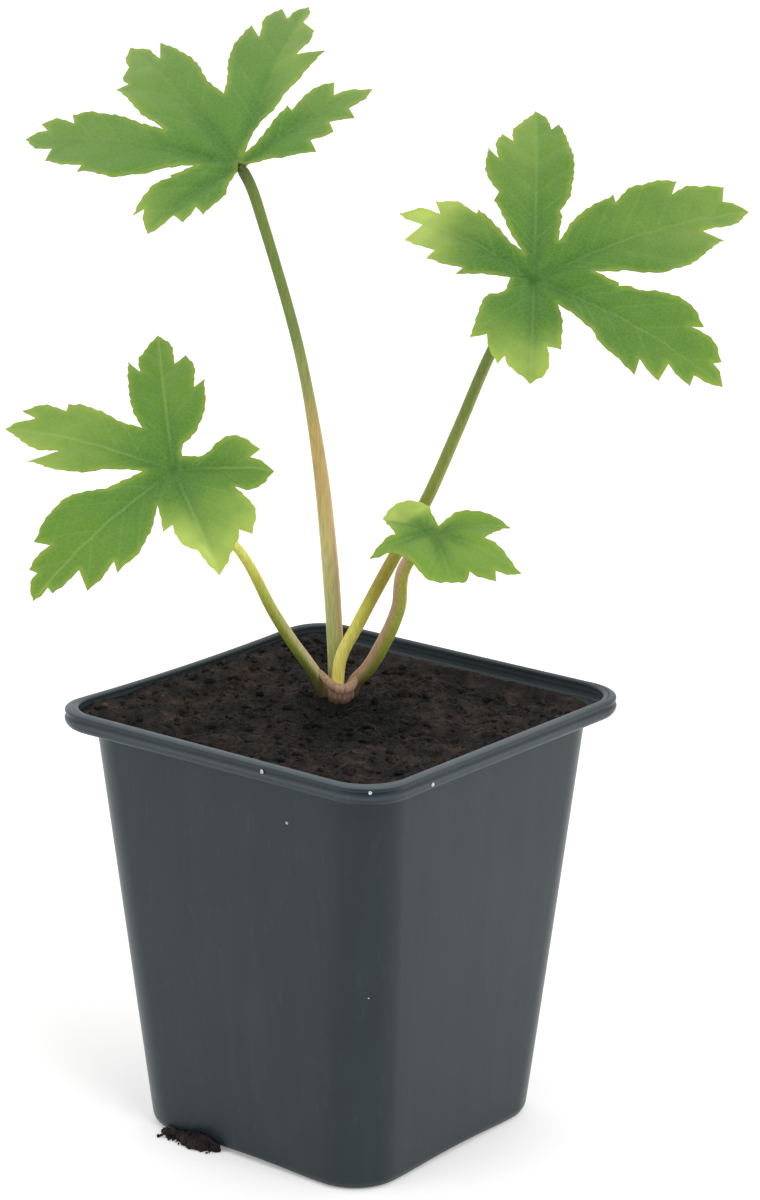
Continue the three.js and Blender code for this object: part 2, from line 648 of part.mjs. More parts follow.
const model = new THREE.Group();
const stalkHoles = Object.keys(STALKS).map((name) => stalkTube(STALKS[name], LEAVES[name], CLEARANCE));
addPiece(model, 'pot', toGeometry(buildPot()), 0x3f4548, 0.55);
addPiece(model, 'soil', toGeometry(buildSoil([crownPlug(CLEARANCE), ...stalkHoles])), 0x2b2321, 0.95);
addPiece(model, 'spilled_soil', toGeometry(buildSpilledSoil()), 0x221c1a, 0.95);
const crown = stalkHoles.reduce((rest, hole) => rest.subtract(hole), crownPlug(0));
addPiece(model, 'crown', toGeometry(crown), 0x9c7462, 0.7);

for (const [name, leaf] of Object.entries(LEAVES)) {
  addPiece(model, `stalk_${name}`, toGeometry(buildStalk(STALKS[name], leaf)), STALKS[name].colour, 0.5);
  const blade = addPiece(model, `leaf_${name}`, buildLeaf(leaf), leaf.colour, 0.45);
  leafPlace(leaf).decompose(blade.position, blade.quaternion, blade.scale);
}

export default model;
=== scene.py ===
import math
import random

import bmesh
import bpy
import numpy as np
from mathutils import Matrix, Quaternion, Vector, noise
from mathutils.geometry import delaunay_2d_cdt


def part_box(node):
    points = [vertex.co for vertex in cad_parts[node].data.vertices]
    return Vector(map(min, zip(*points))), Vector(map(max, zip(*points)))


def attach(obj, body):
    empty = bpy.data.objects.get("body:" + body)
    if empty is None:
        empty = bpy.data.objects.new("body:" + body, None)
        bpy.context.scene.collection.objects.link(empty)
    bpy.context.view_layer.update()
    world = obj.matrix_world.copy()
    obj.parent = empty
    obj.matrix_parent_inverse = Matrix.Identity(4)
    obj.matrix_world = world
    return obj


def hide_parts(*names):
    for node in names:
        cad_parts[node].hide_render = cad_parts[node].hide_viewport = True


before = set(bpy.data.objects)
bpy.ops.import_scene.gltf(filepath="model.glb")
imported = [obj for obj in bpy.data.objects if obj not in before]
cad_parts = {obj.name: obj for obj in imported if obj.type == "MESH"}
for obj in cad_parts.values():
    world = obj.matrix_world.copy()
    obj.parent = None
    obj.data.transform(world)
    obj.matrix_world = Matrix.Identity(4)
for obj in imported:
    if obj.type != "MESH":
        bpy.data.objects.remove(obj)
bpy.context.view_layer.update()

# POT
# A square nursery pot, injection moulded in recycled polypropylene: a thin tapered wall with
# rounded corners, a stepped rim with a rolled bead, and a floor on four corner feet with drains.
MM = 0.001
POT_HEIGHT, RIM_HEIGHT = 96, 4.2
RIM_SIDE, WALL_TOP_SIDE, BASE_SIDE = 90, 81, 65
WALL_CORNER, RIM_CORNER = 11, 9.8
WALL, SHELF, BEAD_WIDTH = 1.2, 0.8, 2.2
BASE_BEVEL, FLOOR_TOP, CENTRE_PAD_RADIUS = 1.8, 2.2, 7
SIDE_ARCH, FOOT_LENGTH = 1.3, 10
ROUND_DRAIN_RADIUS, ROUND_DRAIN_OFFSET = 4, 17
EDGE_DRAIN_LENGTH, EDGE_DRAIN_WIDTH, EDGE_DRAIN_OFFSET = 12, 5, 26
WALL_BULGE, RIM_SAG, SAG_REACH = 0.35, 0.9, 42
OUTER_BEND, INNER_BEND = 0.55, 0.5
BEAD_MIDDLE, BEAD_REACH = 1.9, 0.45
# Strength of the painted highlight on the rim's top and bead, and of the painted light inside the wall
RIM_HIGHLIGHT, INSIDE_LIGHT = 0.5, 0.75
# The rim's outside is a bead, a groove over it and a plain band: how far each point lies in from the
# rim's side and up from its underside. Its inside: how far out from the throat and down from the top.
RIM_OUTSIDE = ((0.7, 0), (0.1, 1), (0, 2), (0.5, 2.6), (0.1, 3.1), (0.1, RIM_HEIGHT - 0.4), (0.6, RIM_HEIGHT))
RIM_INSIDE = ((0.3, RIM_HEIGHT - SHELF), (0.3, 2.1), (0, 1.6), (0, 0.1), (1, 0))
under_rim = POT_HEIGHT - RIM_HEIGHT
shelf_top = under_rim + SHELF
throat = RIM_SIDE / 2 - BEAD_WIDTH


def lerp(low, high, share):
    return low + (high - low) * share


def smoothstep(value, low, high):
    share = min(1, max(0, (value - low) / (high - low)))
    return share * share * (3 - 2 * share)


def bell(gap, width):
    """Falls from 1 towards 0 over about twice a width"""
    return math.exp(-(gap / width) ** 2)


def hex_colour(code):
    """sRGB hex code as a linear colour"""
    channels = [int(code[i:i + 2], 16) / 255 for i in (1, 3, 5)]
    return [c / 12.92 if c <= 0.04045 else ((c + 0.055) / 1.055) ** 2.4 for c in channels] + [1]


def feed(tree, node, inputs):
    """Gives each input of a node its value, or the socket or the node that runs into it"""
    for name, value in inputs.items():
        source = value.outputs[0] if isinstance(value, bpy.types.Node) else value
        if isinstance(source, bpy.types.NodeSocket):
            tree.links.new(source, node.inputs[name])
        else:
            node.inputs[name].default_value = source


def add_node(tree, kind, inputs=None, stops=(), **settings):
    """Adds a node with its settings, its inputs and the colour stops of a ramp"""
    node = tree.nodes.new("ShaderNode" + kind)
    for name, value in settings.items():
        setattr(node, name, value)
    feed(tree, node, inputs or {})
    for index, (place, colour) in enumerate(stops):
        ramp = node.color_ramp.elements
        stop = ramp[index] if index < 2 else ramp.new(place)
        stop.position = place
        stop.color = hex_colour(colour)
    return node


def new_material(name):
    """A new material, its node tree and the Principled shader on its output"""
    material = bpy.data.materials.new(name)
    material.use_nodes = True
    tree = material.node_tree
    return material, tree, tree.nodes["Principled BSDF"]


def new_piece(name, points, faces, material, **fields):
    """A mesh object from points in millimetres; a field gives each point a number for the material"""
    mesh = bpy.data.meshes.new(name)
    mesh.from_pydata([Vector(p) * MM for p in points], [], faces)
    mesh.materials.append(material)
    for field, values in fields.items():
        mesh.attributes.new(field, "FLOAT", "POINT").data.foreach_set("value", values)
    mesh.shade_smooth()
    piece = bpy.data.objects.new(name, mesh)
    bpy.context.scene.collection.objects.link(piece)
    return piece


def square_ring(half, z, radius, corner_steps=16, side_steps=14):
    """Level ring of a rounded square, counter-clockwise from above"""
    ring = []
    reach = half - radius
    for corner in range(4):
        turn = Matrix.Rotation(corner * math.pi / 2, 3, "Z")
        arc = []
        for step in range(corner_steps + 1):
            angle = step / corner_steps * math.pi / 2
            arc.append(turn @ Vector((reach + radius * math.cos(angle), reach + radius * math.sin(angle), z)))
        ring.extend(arc)
        next_start = turn @ Vector((-reach, half, z))
        for step in range(1, side_steps):
            ring.append(arc[-1].lerp(next_start, step / side_steps))
    return ring


def round_off(profile, bend):
    """A profile of (half, z, radius) with each of its corners turned into a small curve"""
    smooth = [profile[0]]
    for before, corner, after in zip(profile, profile[1:], profile[2:]):
        here = Vector(corner)
        back = Vector(before) - here
        on = Vector(after) - here
        reach = min(bend, back.length / 2, on.length / 2)
        start = here + back.normalized() * reach
        end = here + on.normalized() * reach
        for step in range(5):
            share = step / 4
            smooth.append(start.lerp(here, share).lerp(here.lerp(end, share), share))
    smooth.append(profile[-1])
    return [tuple(point) for point in smooth]


def loft(rings):
    """Points and faces of a skin over rings of equal length, closed at both ends"""
    count = len(rings[0])
    points = [point for ring in rings for point in ring]
    faces = []
    for level in range(len(rings) - 1):
        for i in range(count):
            a = level * count + i
            b = level * count + (i + 1) % count
            faces.append((a, b, b + count, a + count))
    for ring, end in ((rings[0], 0), (rings[-1], (len(rings) - 1) * count)):
        middle = len(points)
        points.append(sum(ring, Vector()) / count)
        for i in range(count):
            pair = (end + i, end + (i + 1) % count)
            faces.append((middle, *pair) if end else (middle, *reversed(pair)))
    return points, faces


def plate(outline, low, high, turn=0):
    """A plate cut along a flat outline of (x, y), turned about the vertical by a number of degrees"""
    spin = Matrix.Rotation(math.radians(turn), 3, "Z")
    return loft([[spin @ Vector((x, y, z)) for x, y in outline] for z in (low, high)])


def circle(radius, x=0, y=0, start=0, end=360, steps=32):
    angles = [math.radians(lerp(start, end, step / steps)) for step in range(steps)]
    return [(x + radius * math.cos(angle), y + radius * math.sin(angle)) for angle in angles]


def cut_with(piece, points, faces, operation="DIFFERENCE"):
    """Cuts a body out of a piece, or melts it on with operation UNION"""
    cutter = new_piece("cutter", points, faces, piece.data.materials[0])
    shell = bmesh.new()
    shell.from_mesh(cutter.data)
    bmesh.ops.recalc_face_normals(shell, faces=shell.faces)
    shell.to_mesh(cutter.data)
    shell.free()
    boolean = piece.modifiers.new("cut", "BOOLEAN")
    boolean.operation = operation
    boolean.solver = "EXACT"
    boolean.object = cutter
    bpy.context.view_layer.objects.active = piece
    bpy.ops.object.modifier_apply(modifier=boolean.name)
    bpy.data.objects.remove(cutter)


def polypropylene():
    """Recycled polypropylene as it leaves the mould: a dark blue-grey with a dull satin skin, faint
    upright flow streaks and fine scuffs from stacking. A painted highlight lightens the rim's top and
    bead, most towards the front, and the inner wall is painted lighter as painted light. The
    grain of the mould is drawn coarser than it is, so that it shows"""
    material, tree, shader = new_material("moulded_recycled_polypropylene")
    streak_width, cloud, grain, scuff = 5, 24, 0.5, 1.6
    place = add_node(tree, "TexCoord").outputs["Object"]
    dust = add_node(tree, "Attribute", attribute_name="dust").outputs["Fac"]
    rubbed = add_node(tree, "Attribute", attribute_name="rubbed").outputs["Fac"]
    drawn = add_node(tree, "Mapping", {"Vector": place, "Scale": (1, 1, 0.08)})
    streaks = add_node(tree, "TexNoise", {"Vector": drawn, "Scale": 1000 / streak_width, "Detail": 5})
    clouds = add_node(tree, "TexNoise", {"Vector": place, "Scale": 1000 / cloud, "Detail": 4})
    both = add_node(tree, "Math", {0: streaks, 1: clouds}, operation="ADD")
    half = add_node(tree, "Math", {0: both, 1: 0.5}, operation="MULTIPLY")
    body = add_node(tree, "ValToRGB", {0: half}, [(0.36, "#172228"), (0.66, "#1e2a30"), (0.5, "#1a262a")])
    # Painted light: the inner wall, below its top, is painted a lighter blue-grey
    dusty = add_node(tree, "MixRGB", {0: dust, 1: body, 2: hex_colour("#4a5357")})
    long_way = add_node(tree, "Mapping", {"Vector": place, "Scale": (1, 1, 0.25)})
    scuffs = add_node(tree, "TexNoise", {"Vector": long_way, "Scale": 1000 / scuff, "Detail": 6})
    scuffed = add_node(tree, "MapRange", {"Value": scuffs, "From Min": 0.6, "From Max": 0.75, "To Max": 0.05})
    # The rim field is a painted highlight on the rim's top and bead, strongest towards the front; it is added
    # to real scuffs
    scuffs_and_highlight = add_node(tree, "Math", {0: scuffed, 1: rubbed}, operation="ADD", use_clamp=True)
    colour = add_node(tree, "MixRGB", {0: scuffs_and_highlight, 1: dusty, 2: hex_colour("#67737a")})
    gloss = add_node(tree, "MapRange", {"Value": scuffs, "To Min": 0.27, "To Max": 0.39})
    fine = add_node(tree, "TexNoise", {"Vector": place, "Scale": 1000 / grain, "Detail": 2})
    bump = add_node(tree, "Bump", {"Strength": 0.12, "Distance": 0.0002, "Height": fine})
    feed(tree, shader, {"Base Color": colour, "Roughness": gloss, "Normal": bump, "IOR": 1.49,
                        "Specular IOR Level": 0.33})
    return material


def sagged(point):
    """The soil presses the walls out a little, and the rim sags along the -X side"""
    x, y, z = point
    reach = max(abs(x), abs(y), 1)
    middle = 1 - (min(abs(x), abs(y)) / reach) ** 2
    bulge = WALL_BULGE * middle * math.sin(math.pi * min(1, max(0, z / under_rim)))
    shift = 1 + bulge / reach if z < under_rim else 1
    along = max(0, 1 - (y / SAG_REACH) ** 2)
    drop = RIM_SAG * along * smoothstep(-x, 30, SAG_REACH) * smoothstep(z, under_rim - 6, under_rim)
    return Vector((x * shift, y * shift, z - drop))


outer = [
    (BASE_SIDE / 2 - BASE_BEVEL, 0, WALL_CORNER - BASE_BEVEL),
    (BASE_SIDE / 2 - 0.3 * BASE_BEVEL, 0.3 * BASE_BEVEL, WALL_CORNER),
    (BASE_SIDE / 2, BASE_BEVEL, WALL_CORNER),
]
for share in (0.15, 0.3, 0.45, 0.6, 0.75, 0.9, 0.97):
    z = lerp(BASE_BEVEL, under_rim, share)
    outer.append((lerp(BASE_SIDE, WALL_TOP_SIDE, share) / 2, z, WALL_CORNER))
outer.append((WALL_TOP_SIDE / 2, under_rim, RIM_CORNER))
outer += [(RIM_SIDE / 2 - back, under_rim + up, RIM_CORNER) for back, up in RIM_OUTSIDE]
outer.append((throat + 0.9, POT_HEIGHT, RIM_CORNER))
wall_low = lerp(BASE_SIDE, WALL_TOP_SIDE, (FLOOR_TOP - BASE_BEVEL) / (under_rim - BASE_BEVEL)) / 2
inner = [
    (wall_low - WALL - 1, FLOOR_TOP, WALL_CORNER),
    (wall_low - WALL, FLOOR_TOP + 1, WALL_CORNER),
    (WALL_TOP_SIDE / 2 - WALL, shelf_top, WALL_CORNER),
    *[(throat + out, POT_HEIGHT - down, RIM_CORNER) for out, down in RIM_INSIDE],
]
outside, inside_rows = round_off(outer, OUTER_BEND), round_off(inner, INNER_BEND)
rings, rubbed, dust = [], [], []
for row in [*outside, *reversed(inside_rows)]:
    ring = square_ring(*row)
    rings.append([sagged(point) for point in ring])
    # Painted highlight on the rim's top and bead, strongest on the sides towards the front
    on_top = smoothstep(row[1], POT_HEIGHT - 0.7, POT_HEIGHT - 0.2)
    on_bead = 0.5 * bell(row[1] - under_rim - BEAD_MIDDLE, BEAD_REACH) if row in outside else 0
    for point in ring:
        to_front = smoothstep(point.x - 1.2 * point.y, -30, 30)
        rubbed.append(RIM_HIGHLIGHT * max(on_top, on_bead) * to_front)
        # Painted light on the inner wall, below its top
        dust.append(INSIDE_LIGHT if row in inside_rows and on_top == 0 else 0)
points, faces = loft(rings)
pot = new_piece("nursery_pot", points, faces, polypropylene(), rubbed=[*rubbed, 0, 0], dust=[*dust, 0, 0])

# Each side arches up between the corner feet, round a pad in the middle, and the floor is pierced
span = BASE_SIDE - 2 * FOOT_LENGTH
arch = [(-span / 2, -1), (span / 2, -1)]
for step in range(17):
    share = step / 16
    arch.append((lerp(span / 2, -span / 2, share), 4 * SIDE_ARCH * share * (1 - share)))
for turn in (0, 90):
    spin = Matrix.Rotation(math.radians(turn), 3, "Z")
    ends = (-RIM_SIDE / 2, RIM_SIDE / 2)
    cut_with(pot, *loft([[spin @ Vector((x, y, z)) for x, z in arch] for y in ends]))
cut_with(pot, *plate(circle(CENTRE_PAD_RADIUS), 0, FLOOR_TOP - 0.5), operation="UNION")
slot_end = (EDGE_DRAIN_LENGTH - EDGE_DRAIN_WIDTH) / 2
slot = circle(EDGE_DRAIN_WIDTH / 2, slot_end, EDGE_DRAIN_OFFSET, -90, 100, 16)
slot += circle(EDGE_DRAIN_WIDTH / 2, -slot_end, EDGE_DRAIN_OFFSET, 90, 280, 16)
drain = circle(ROUND_DRAIN_RADIUS, ROUND_DRAIN_OFFSET, ROUND_DRAIN_OFFSET)
for turn in (0, 90, 180, 270):
    for hole in (slot, drain):
        cut_with(pot, *plate(hole, -1, FLOOR_TOP + 1, turn))
pot.data.shade_smooth()
pot.data.set_sharp_from_angle(angle=math.radians(35))
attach(pot, "root")
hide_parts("pot")

# FLECKS
# Splashes of hard water that have dried to specks of lime on the rim and the walls.
# Each is its place on the pot, the way that the pot's side faces there, and its radius.
FLECKS = [
    (15.5, -45, 94.4, -90, 0.42), (41.6, -42.5, 94.9, -52, 0.36), (45, -26.4, 93.2, 0, 0.46),
    (17.7, -39.7, 82.5, -90, 0.3), (33.7, -32.5, 46, -37, 0.3), (-45, 12, 94.6, 180, 0.4),
    (-9, 45, 93.3, 90, 0.36),
]
FLECK_RISE = 0.12


def ball(subdivisions):
    """Points and faces of a sphere of radius 1"""
    shell = bmesh.new()
    bmesh.ops.create_icosphere(shell, subdivisions=subdivisions, radius=1)
    points = [vertex.co.copy() for vertex in shell.verts]
    faces = [tuple(vertex.index for vertex in face.verts) for face in shell.faces]
    shell.free()
    return points, faces


def empty_heap():
    return {"points": [], "faces": [], "tint": []}


def add_points(heap, points, faces, tint=0):
    """Adds a loose bit to a heap of points, faces and tints"""
    base = len(heap["points"])
    heap["points"].extend(points)
    heap["faces"].extend(tuple(base + i for i in face) for face in faces)
    heap["tint"].extend([tint] * len(points))


def dried_lime():
    """Limescale: a chalky off-white crust, quite matt, thinner and greyer in places, with its fine
    grit drawn coarser, so that it shows"""
    material, tree, shader = new_material("dried_limescale")
    grit = 0.25
    place = add_node(tree, "TexCoord").outputs["Object"]
    crust = add_node(tree, "TexNoise", {"Vector": place, "Scale": 1000 / grit, "Detail": 3})
    colour = add_node(tree, "ValToRGB", {0: crust}, [(0.35, "#8f9798"), (0.65, "#d3d6d4")])
    bump = add_node(tree, "Bump", {"Strength": 0.5, "Distance": 0.0001, "Height": crust})
    feed(tree, shader, {"Base Color": colour, "Roughness": 0.9, "Normal": bump})
    return material


fine_ball = ball(3)
heap = empty_heap()
for index, (x, y, z, facing, size) in enumerate(FLECKS):
    out = Vector((math.cos(math.radians(facing)), math.sin(math.radians(facing)), 0))
    spread = out.to_track_quat("Z", "Y")
    blob = []
    for point in fine_ball[0]:
        swell = size * (1 + 0.4 * noise.noise(point * 1.4 + Vector((index, 0, 0))))
        flat = Vector((point.x * swell, point.y * swell, point.z * FLECK_RISE))
        blob.append(sagged((x, y, z)) + spread @ flat)
    add_points(heap, blob, fine_ball[1])
flecks = new_piece("lime_flecks", heap["points"], heap["faces"], dried_lime())
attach(flecks, "root")

# SOIL
# Dark peat potting compost, filled loose by machine: fine black crumbs, brown lumps and thin fibres.
# It is hollow in front of the crown and painted darker there, as moist peat with painted shade,
# and it laps onto the rim's shelf, most of all at -X.
SOIL_LEVEL, SOIL_BANK_LEVEL = 92.2, 94.1
HOLLOW_X, HOLLOW_Y, HOLLOW_DEPTH, HOLLOW_SPREAD = -4.2, 3.1, 1.8, 30
LUMPS, LUMP_SINK = ((5.2, 0.5), (2.1, 0.5), (0.95, 0.4)), 0.15
# A patch in front of the crown is painted darker: painted shade in the hollow, and moist peat
DAMP_SHADE_MIDDLE, DAMP_SHADE_HALF_WIDTH, DAMP_SHADE_HALF_DEPTH = Vector((3, -1, 0)), 8.5, 15
DAMP_SHADE = 0.3
GAP, LAP = 0.1, 1.6
CROWN_X, CROWN_Y = -10.5, 10.9
RING_COUNT, CORNER_STEPS, SIDE_STEPS = 100, 12, 84
CRUMB_COUNT, CRUMB_LENGTH, CRUMB_HEIGHT = 2400, 1.3, 0.75
CRUMB_LEAST, CRUMB_SPREAD, CRUMB_EDGE, BANK_EDGE = 0.16, 0.75, 38.5, 41
FIBRE_COUNT, FIBRE_POINTS, FIBRE_BEND, FIBRE_EDGE = 130, 8, 0.45, 38
CRUMB_CLEARANCE, FIBRE_CLEARANCE = 6, 9
CHIP_X, CHIP_Y, CHIP_SIZE, CHIP_TINT = -38.8, -32.9, 0.8, 0.22
# Right and front as the photo shows the plant
RIGHT, FRONT = Vector((0.777, 0.629, 0)), Vector((0.629, -0.777, 0))


def soil_height(x, y):
    """The soil's broad shape, as in the part's source, with ripples 0.3 to 0.5 mm high"""
    ripple = (0.5 * math.sin(x / 6.3 + 1) * math.cos(y / 5.1) + 0.35 * math.sin(x / 2.9 + y / 4.1)
              + 0.3 * math.cos(y / 2.3 - x / 5.7))
    hollow = HOLLOW_DEPTH * math.exp(-((x - HOLLOW_X) ** 2 + (y - HOLLOW_Y) ** 2) / HOLLOW_SPREAD)
    bank = smoothstep(-x, 28, 37)
    return lerp(SOIL_LEVEL - hollow, SOIL_BANK_LEVEL, bank) + ripple * (1 - 0.6 * bank)


def crumbly(x, y):
    """The broad shape broken up into lumps, each kind with its size and its height"""
    rough = sum(height * noise.noise(Vector((x / size, y / size, size))) for size, height in LUMPS)
    return soil_height(x, y) + rough - LUMP_SINK


def damp_and_shade(x, y):
    """How much darker the soil is in front of the crown: moist peat, and painted shade in the hollow"""
    away = Vector((x, y, 0)) - DAMP_SHADE_MIDDLE
    wet_and_shaded = bell(away.dot(RIGHT), DAMP_SHADE_HALF_WIDTH) * bell(away.dot(FRONT), DAMP_SHADE_HALF_DEPTH)
    return DAMP_SHADE * min(1, 1.4 * wet_and_shaded)


def peat(name):
    """Damp sphagnum peat: nearly black and quite matt, with soft brown patches where it has dried,
    so that the eye reads patches of 5 mm, crumbs of 1.6 mm and grit of 0.6 mm"""
    material, tree, shader = new_material(name)
    patch, crumb_size, grit_size = 5, 1.6, 0.6
    place = add_node(tree, "TexCoord").outputs["Object"]
    tint = add_node(tree, "Attribute", attribute_name="tint").outputs["Fac"]
    broad = add_node(tree, "TexNoise", {"Vector": place, "Scale": 1000 / patch, "Detail": 3})
    fine = add_node(tree, "TexNoise", {"Vector": place, "Scale": 1000 / crumb_size, "Detail": 6,
                                       "Roughness": 0.7})
    both = add_node(tree, "Math", {0: broad, 1: fine}, operation="ADD")
    mixed = add_node(tree, "Math", {0: both, 1: 0.5, 2: tint}, operation="MULTIPLY_ADD")
    colour = add_node(tree, "ValToRGB", {0: mixed}, [
        (0.3, "#121212"), (0.8, "#5c4a42"), (0.44, "#1f1d1d"), (0.52, "#2a2524"), (0.6, "#3c312e")])
    grit = add_node(tree, "TexVoronoi", {"Vector": place, "Scale": 1000 / grit_size})
    relief = add_node(tree, "Math", {0: fine, 1: grit}, operation="ADD")
    bump = add_node(tree, "Bump", {"Strength": 0.7, "Distance": 0.0004, "Height": relief})
    feed(tree, shader, {"Base Color": colour, "Roughness": 0.94, "Normal": bump,
                        "Specular IOR Level": 0.25})
    return material


def crumb(centre, size, shape, seed):
    """A lumpy bit of peat"""
    spin = Quaternion([random.gauss(0, 1) for _ in range(4)]).normalized()
    points = []
    for point in shape[0]:
        swell = 1 + 0.6 * noise.noise(point * 1.2 + Vector((seed, 0, 0)))
        flat = Vector((point.x * CRUMB_LENGTH, point.y, point.z * CRUMB_HEIGHT))
        points.append(centre + spin @ flat * size * swell)
    return points, shape[1]


def fibre(start, length, seed):
    """A thin bent root fibre lying on the soil"""
    heading = random.uniform(0, 2 * math.pi)
    thickness = random.uniform(0.06, 0.13)
    stride = length / (FIBRE_POINTS - 1)
    rings = []
    x, y = start
    for step in range(FIBRE_POINTS):
        heading += random.uniform(-FIBRE_BEND, FIBRE_BEND)
        x += stride * math.cos(heading)
        y += stride * math.sin(heading)
        if max(abs(x), abs(y)) > FIBRE_EDGE:
            break
        middle = Vector((x, y, crumbly(x, y) + 0.12 + 0.2 * math.sin(step + seed)))
        across = Vector((-math.sin(heading), math.cos(heading), 0)) * thickness
        rise = Vector((0, 0, thickness))
        rings.append([middle - across, middle + across * 0.7 - rise, middle + across * 0.7 + rise])
    return rings


def by_crown(x, y, reach):
    return math.hypot(x - CROWN_X, y - CROWN_Y) < reach


random.seed(11)
soil_rings = []
edge = WALL_TOP_SIDE / 2 - WALL - GAP
for level in range(1, RING_COUNT + 1):
    share = level / RING_COUNT
    lap = LAP * smoothstep(share, 0.9, 1)
    ring = []
    for point in square_ring(edge * share + lap, 0, WALL_CORNER * share, CORNER_STEPS, SIDE_STEPS):
        # The bank at -X lies over the whole shelf, out to the rim
        bank = smoothstep(-point.x, 33.5, 38.5)
        x = point.x - (throat - GAP - edge - lap) * bank
        y = point.y * lerp(1, (throat - GAP) / (edge + lap), bank)
        z = crumbly(x, y)
        over_shelf = max(z, shelf_top + 0.5 + 0.5 * noise.noise(Vector((x, y, 0))))
        ring.append(Vector((x, y, lerp(z, over_shelf, smoothstep(share, 0.95, 0.985)))))
    soil_rings.append(ring)
low_half = wall_low - WALL - GAP
lower_rings = [
    square_ring(half, z, WALL_CORNER, CORNER_STEPS, SIDE_STEPS)
    for half, z in ((low_half - 1, FLOOR_TOP + GAP), (low_half, FLOOR_TOP + 1.2), (edge, shelf_top - 0.5))
]
on_shelf = [Vector((point.x, point.y, shelf_top + GAP)) for point in soil_rings[-1]]
points, faces = loft([*lower_rings, on_shelf, *reversed(soil_rings)])
# The tint darkens the soil in front of the crown: moist peat, with painted shade
heap = {"points": points, "faces": faces, "tint": [-damp_and_shade(point.x, point.y) for point in points]}
round_bit, fine_bit = ball(2), ball(1)
for index in range(CRUMB_COUNT):
    x, y = random.uniform(-BANK_EDGE, CRUMB_EDGE), random.uniform(-CRUMB_EDGE, CRUMB_EDGE)
    size = CRUMB_LEAST + CRUMB_SPREAD * random.random() ** 5
    if max(-x - 3, x, abs(y)) > CRUMB_EDGE + 0.1 - size or by_crown(x, y, CRUMB_CLEARANCE):
        continue
    centre = Vector((x, y, crumbly(x, y) + 0.15 * size))
    shape = round_bit if size > 0.4 else fine_bit
    add_points(heap, *crumb(centre, size, shape, index), random.uniform(-0.05, 0.06) - damp_and_shade(x, y))
# One pale chip in the left corner
chip_middle = Vector((CHIP_X, CHIP_Y, crumbly(CHIP_X, CHIP_Y) + 0.2))
add_points(heap, *crumb(chip_middle, CHIP_SIZE, round_bit, 5), CHIP_TINT)
for index in range(FIBRE_COUNT):
    start = [random.uniform(1 - FIBRE_EDGE, FIBRE_EDGE - 1) for _ in "xy"]
    if by_crown(*start, FIBRE_CLEARANCE):
        continue
    rings = fibre(start, random.uniform(2, 6), index)
    if len(rings) > 3:
        add_points(heap, *loft(rings), random.uniform(0, 0.12))
compost = peat("damp_peat_compost")
soil = new_piece("potting_soil", heap["points"], heap["faces"], compost, tint=heap["tint"])
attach(soil, "root")
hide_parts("soil")

# SPILLED SOIL
# A little compost that has run out under the arch of the pot's side and lies against its foot.
# Each lump is its place along the side, its height, and how far it reaches from the pot.
SPILL_LUMPS = [(-21.5, 0.8, 0.7), (-19.5, 1, 0.6), (-17.2, 1.1, 0.9), (-15, 1.4, 1.6),
               (-12.6, 1.6, 1.9), (-10.4, 1.5, 1.5), (-8.4, 1.1, 0.8)]
LUMP_LENGTH, LUMP_REACH, LUMP_HEIGHT = 1.9, 2, 1.2
SPILL_CRUMBS, SPILL_START, SPILL_END = 46, -23, -7
pot_face = -BASE_SIDE / 2 - 0.3


def on_ground(point):
    """Keeps a point clear of the pot and above the ground"""
    return Vector((point.x, min(point.y, pot_face), max(point.z, 0.02)))


heap = empty_heap()
smooth_ball = ball(4)
for index, (x, height, reach) in enumerate(SPILL_LUMPS):
    lump = []
    for point in smooth_ball[0]:
        rough = 1 + 0.22 * noise.noise(point * 2.2 + Vector((index, 0, 0))) + 0.1 * noise.noise(point * 6)
        here = Vector((point.x * LUMP_LENGTH, point.y * LUMP_REACH * reach, point.z * LUMP_HEIGHT * height))
        lump.append(on_ground(here * rough + Vector((x, pot_face, height * LUMP_HEIGHT / 2))))
    add_points(heap, lump, smooth_ball[1])
for index in range(SPILL_CRUMBS):
    size = random.uniform(0.15, 0.5)
    x = random.uniform(SPILL_START, SPILL_END)
    centre = Vector((x, pot_face - random.uniform(0.4, 3.2), size))
    points, faces = crumb(centre, size, fine_bit, index)
    add_points(heap, [on_ground(point) for point in points], faces, random.uniform(-0.05, 0.06))
dry_compost = peat("dry_spilled_peat")
spill = new_piece("spilled_compost", heap["points"], heap["faces"], dry_compost, tint=heap["tint"])
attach(spill, "root")
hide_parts("spilled_soil")

# STALKS
# Four living leaf stalks, round and finely ribbed, that taper from the crown up to their leaf.
# Juicy green to yellow, with a pinkish or tan strip down the side where the sheath runs out.
STALK_STEP, STALK_SIDES = 0.8, 30
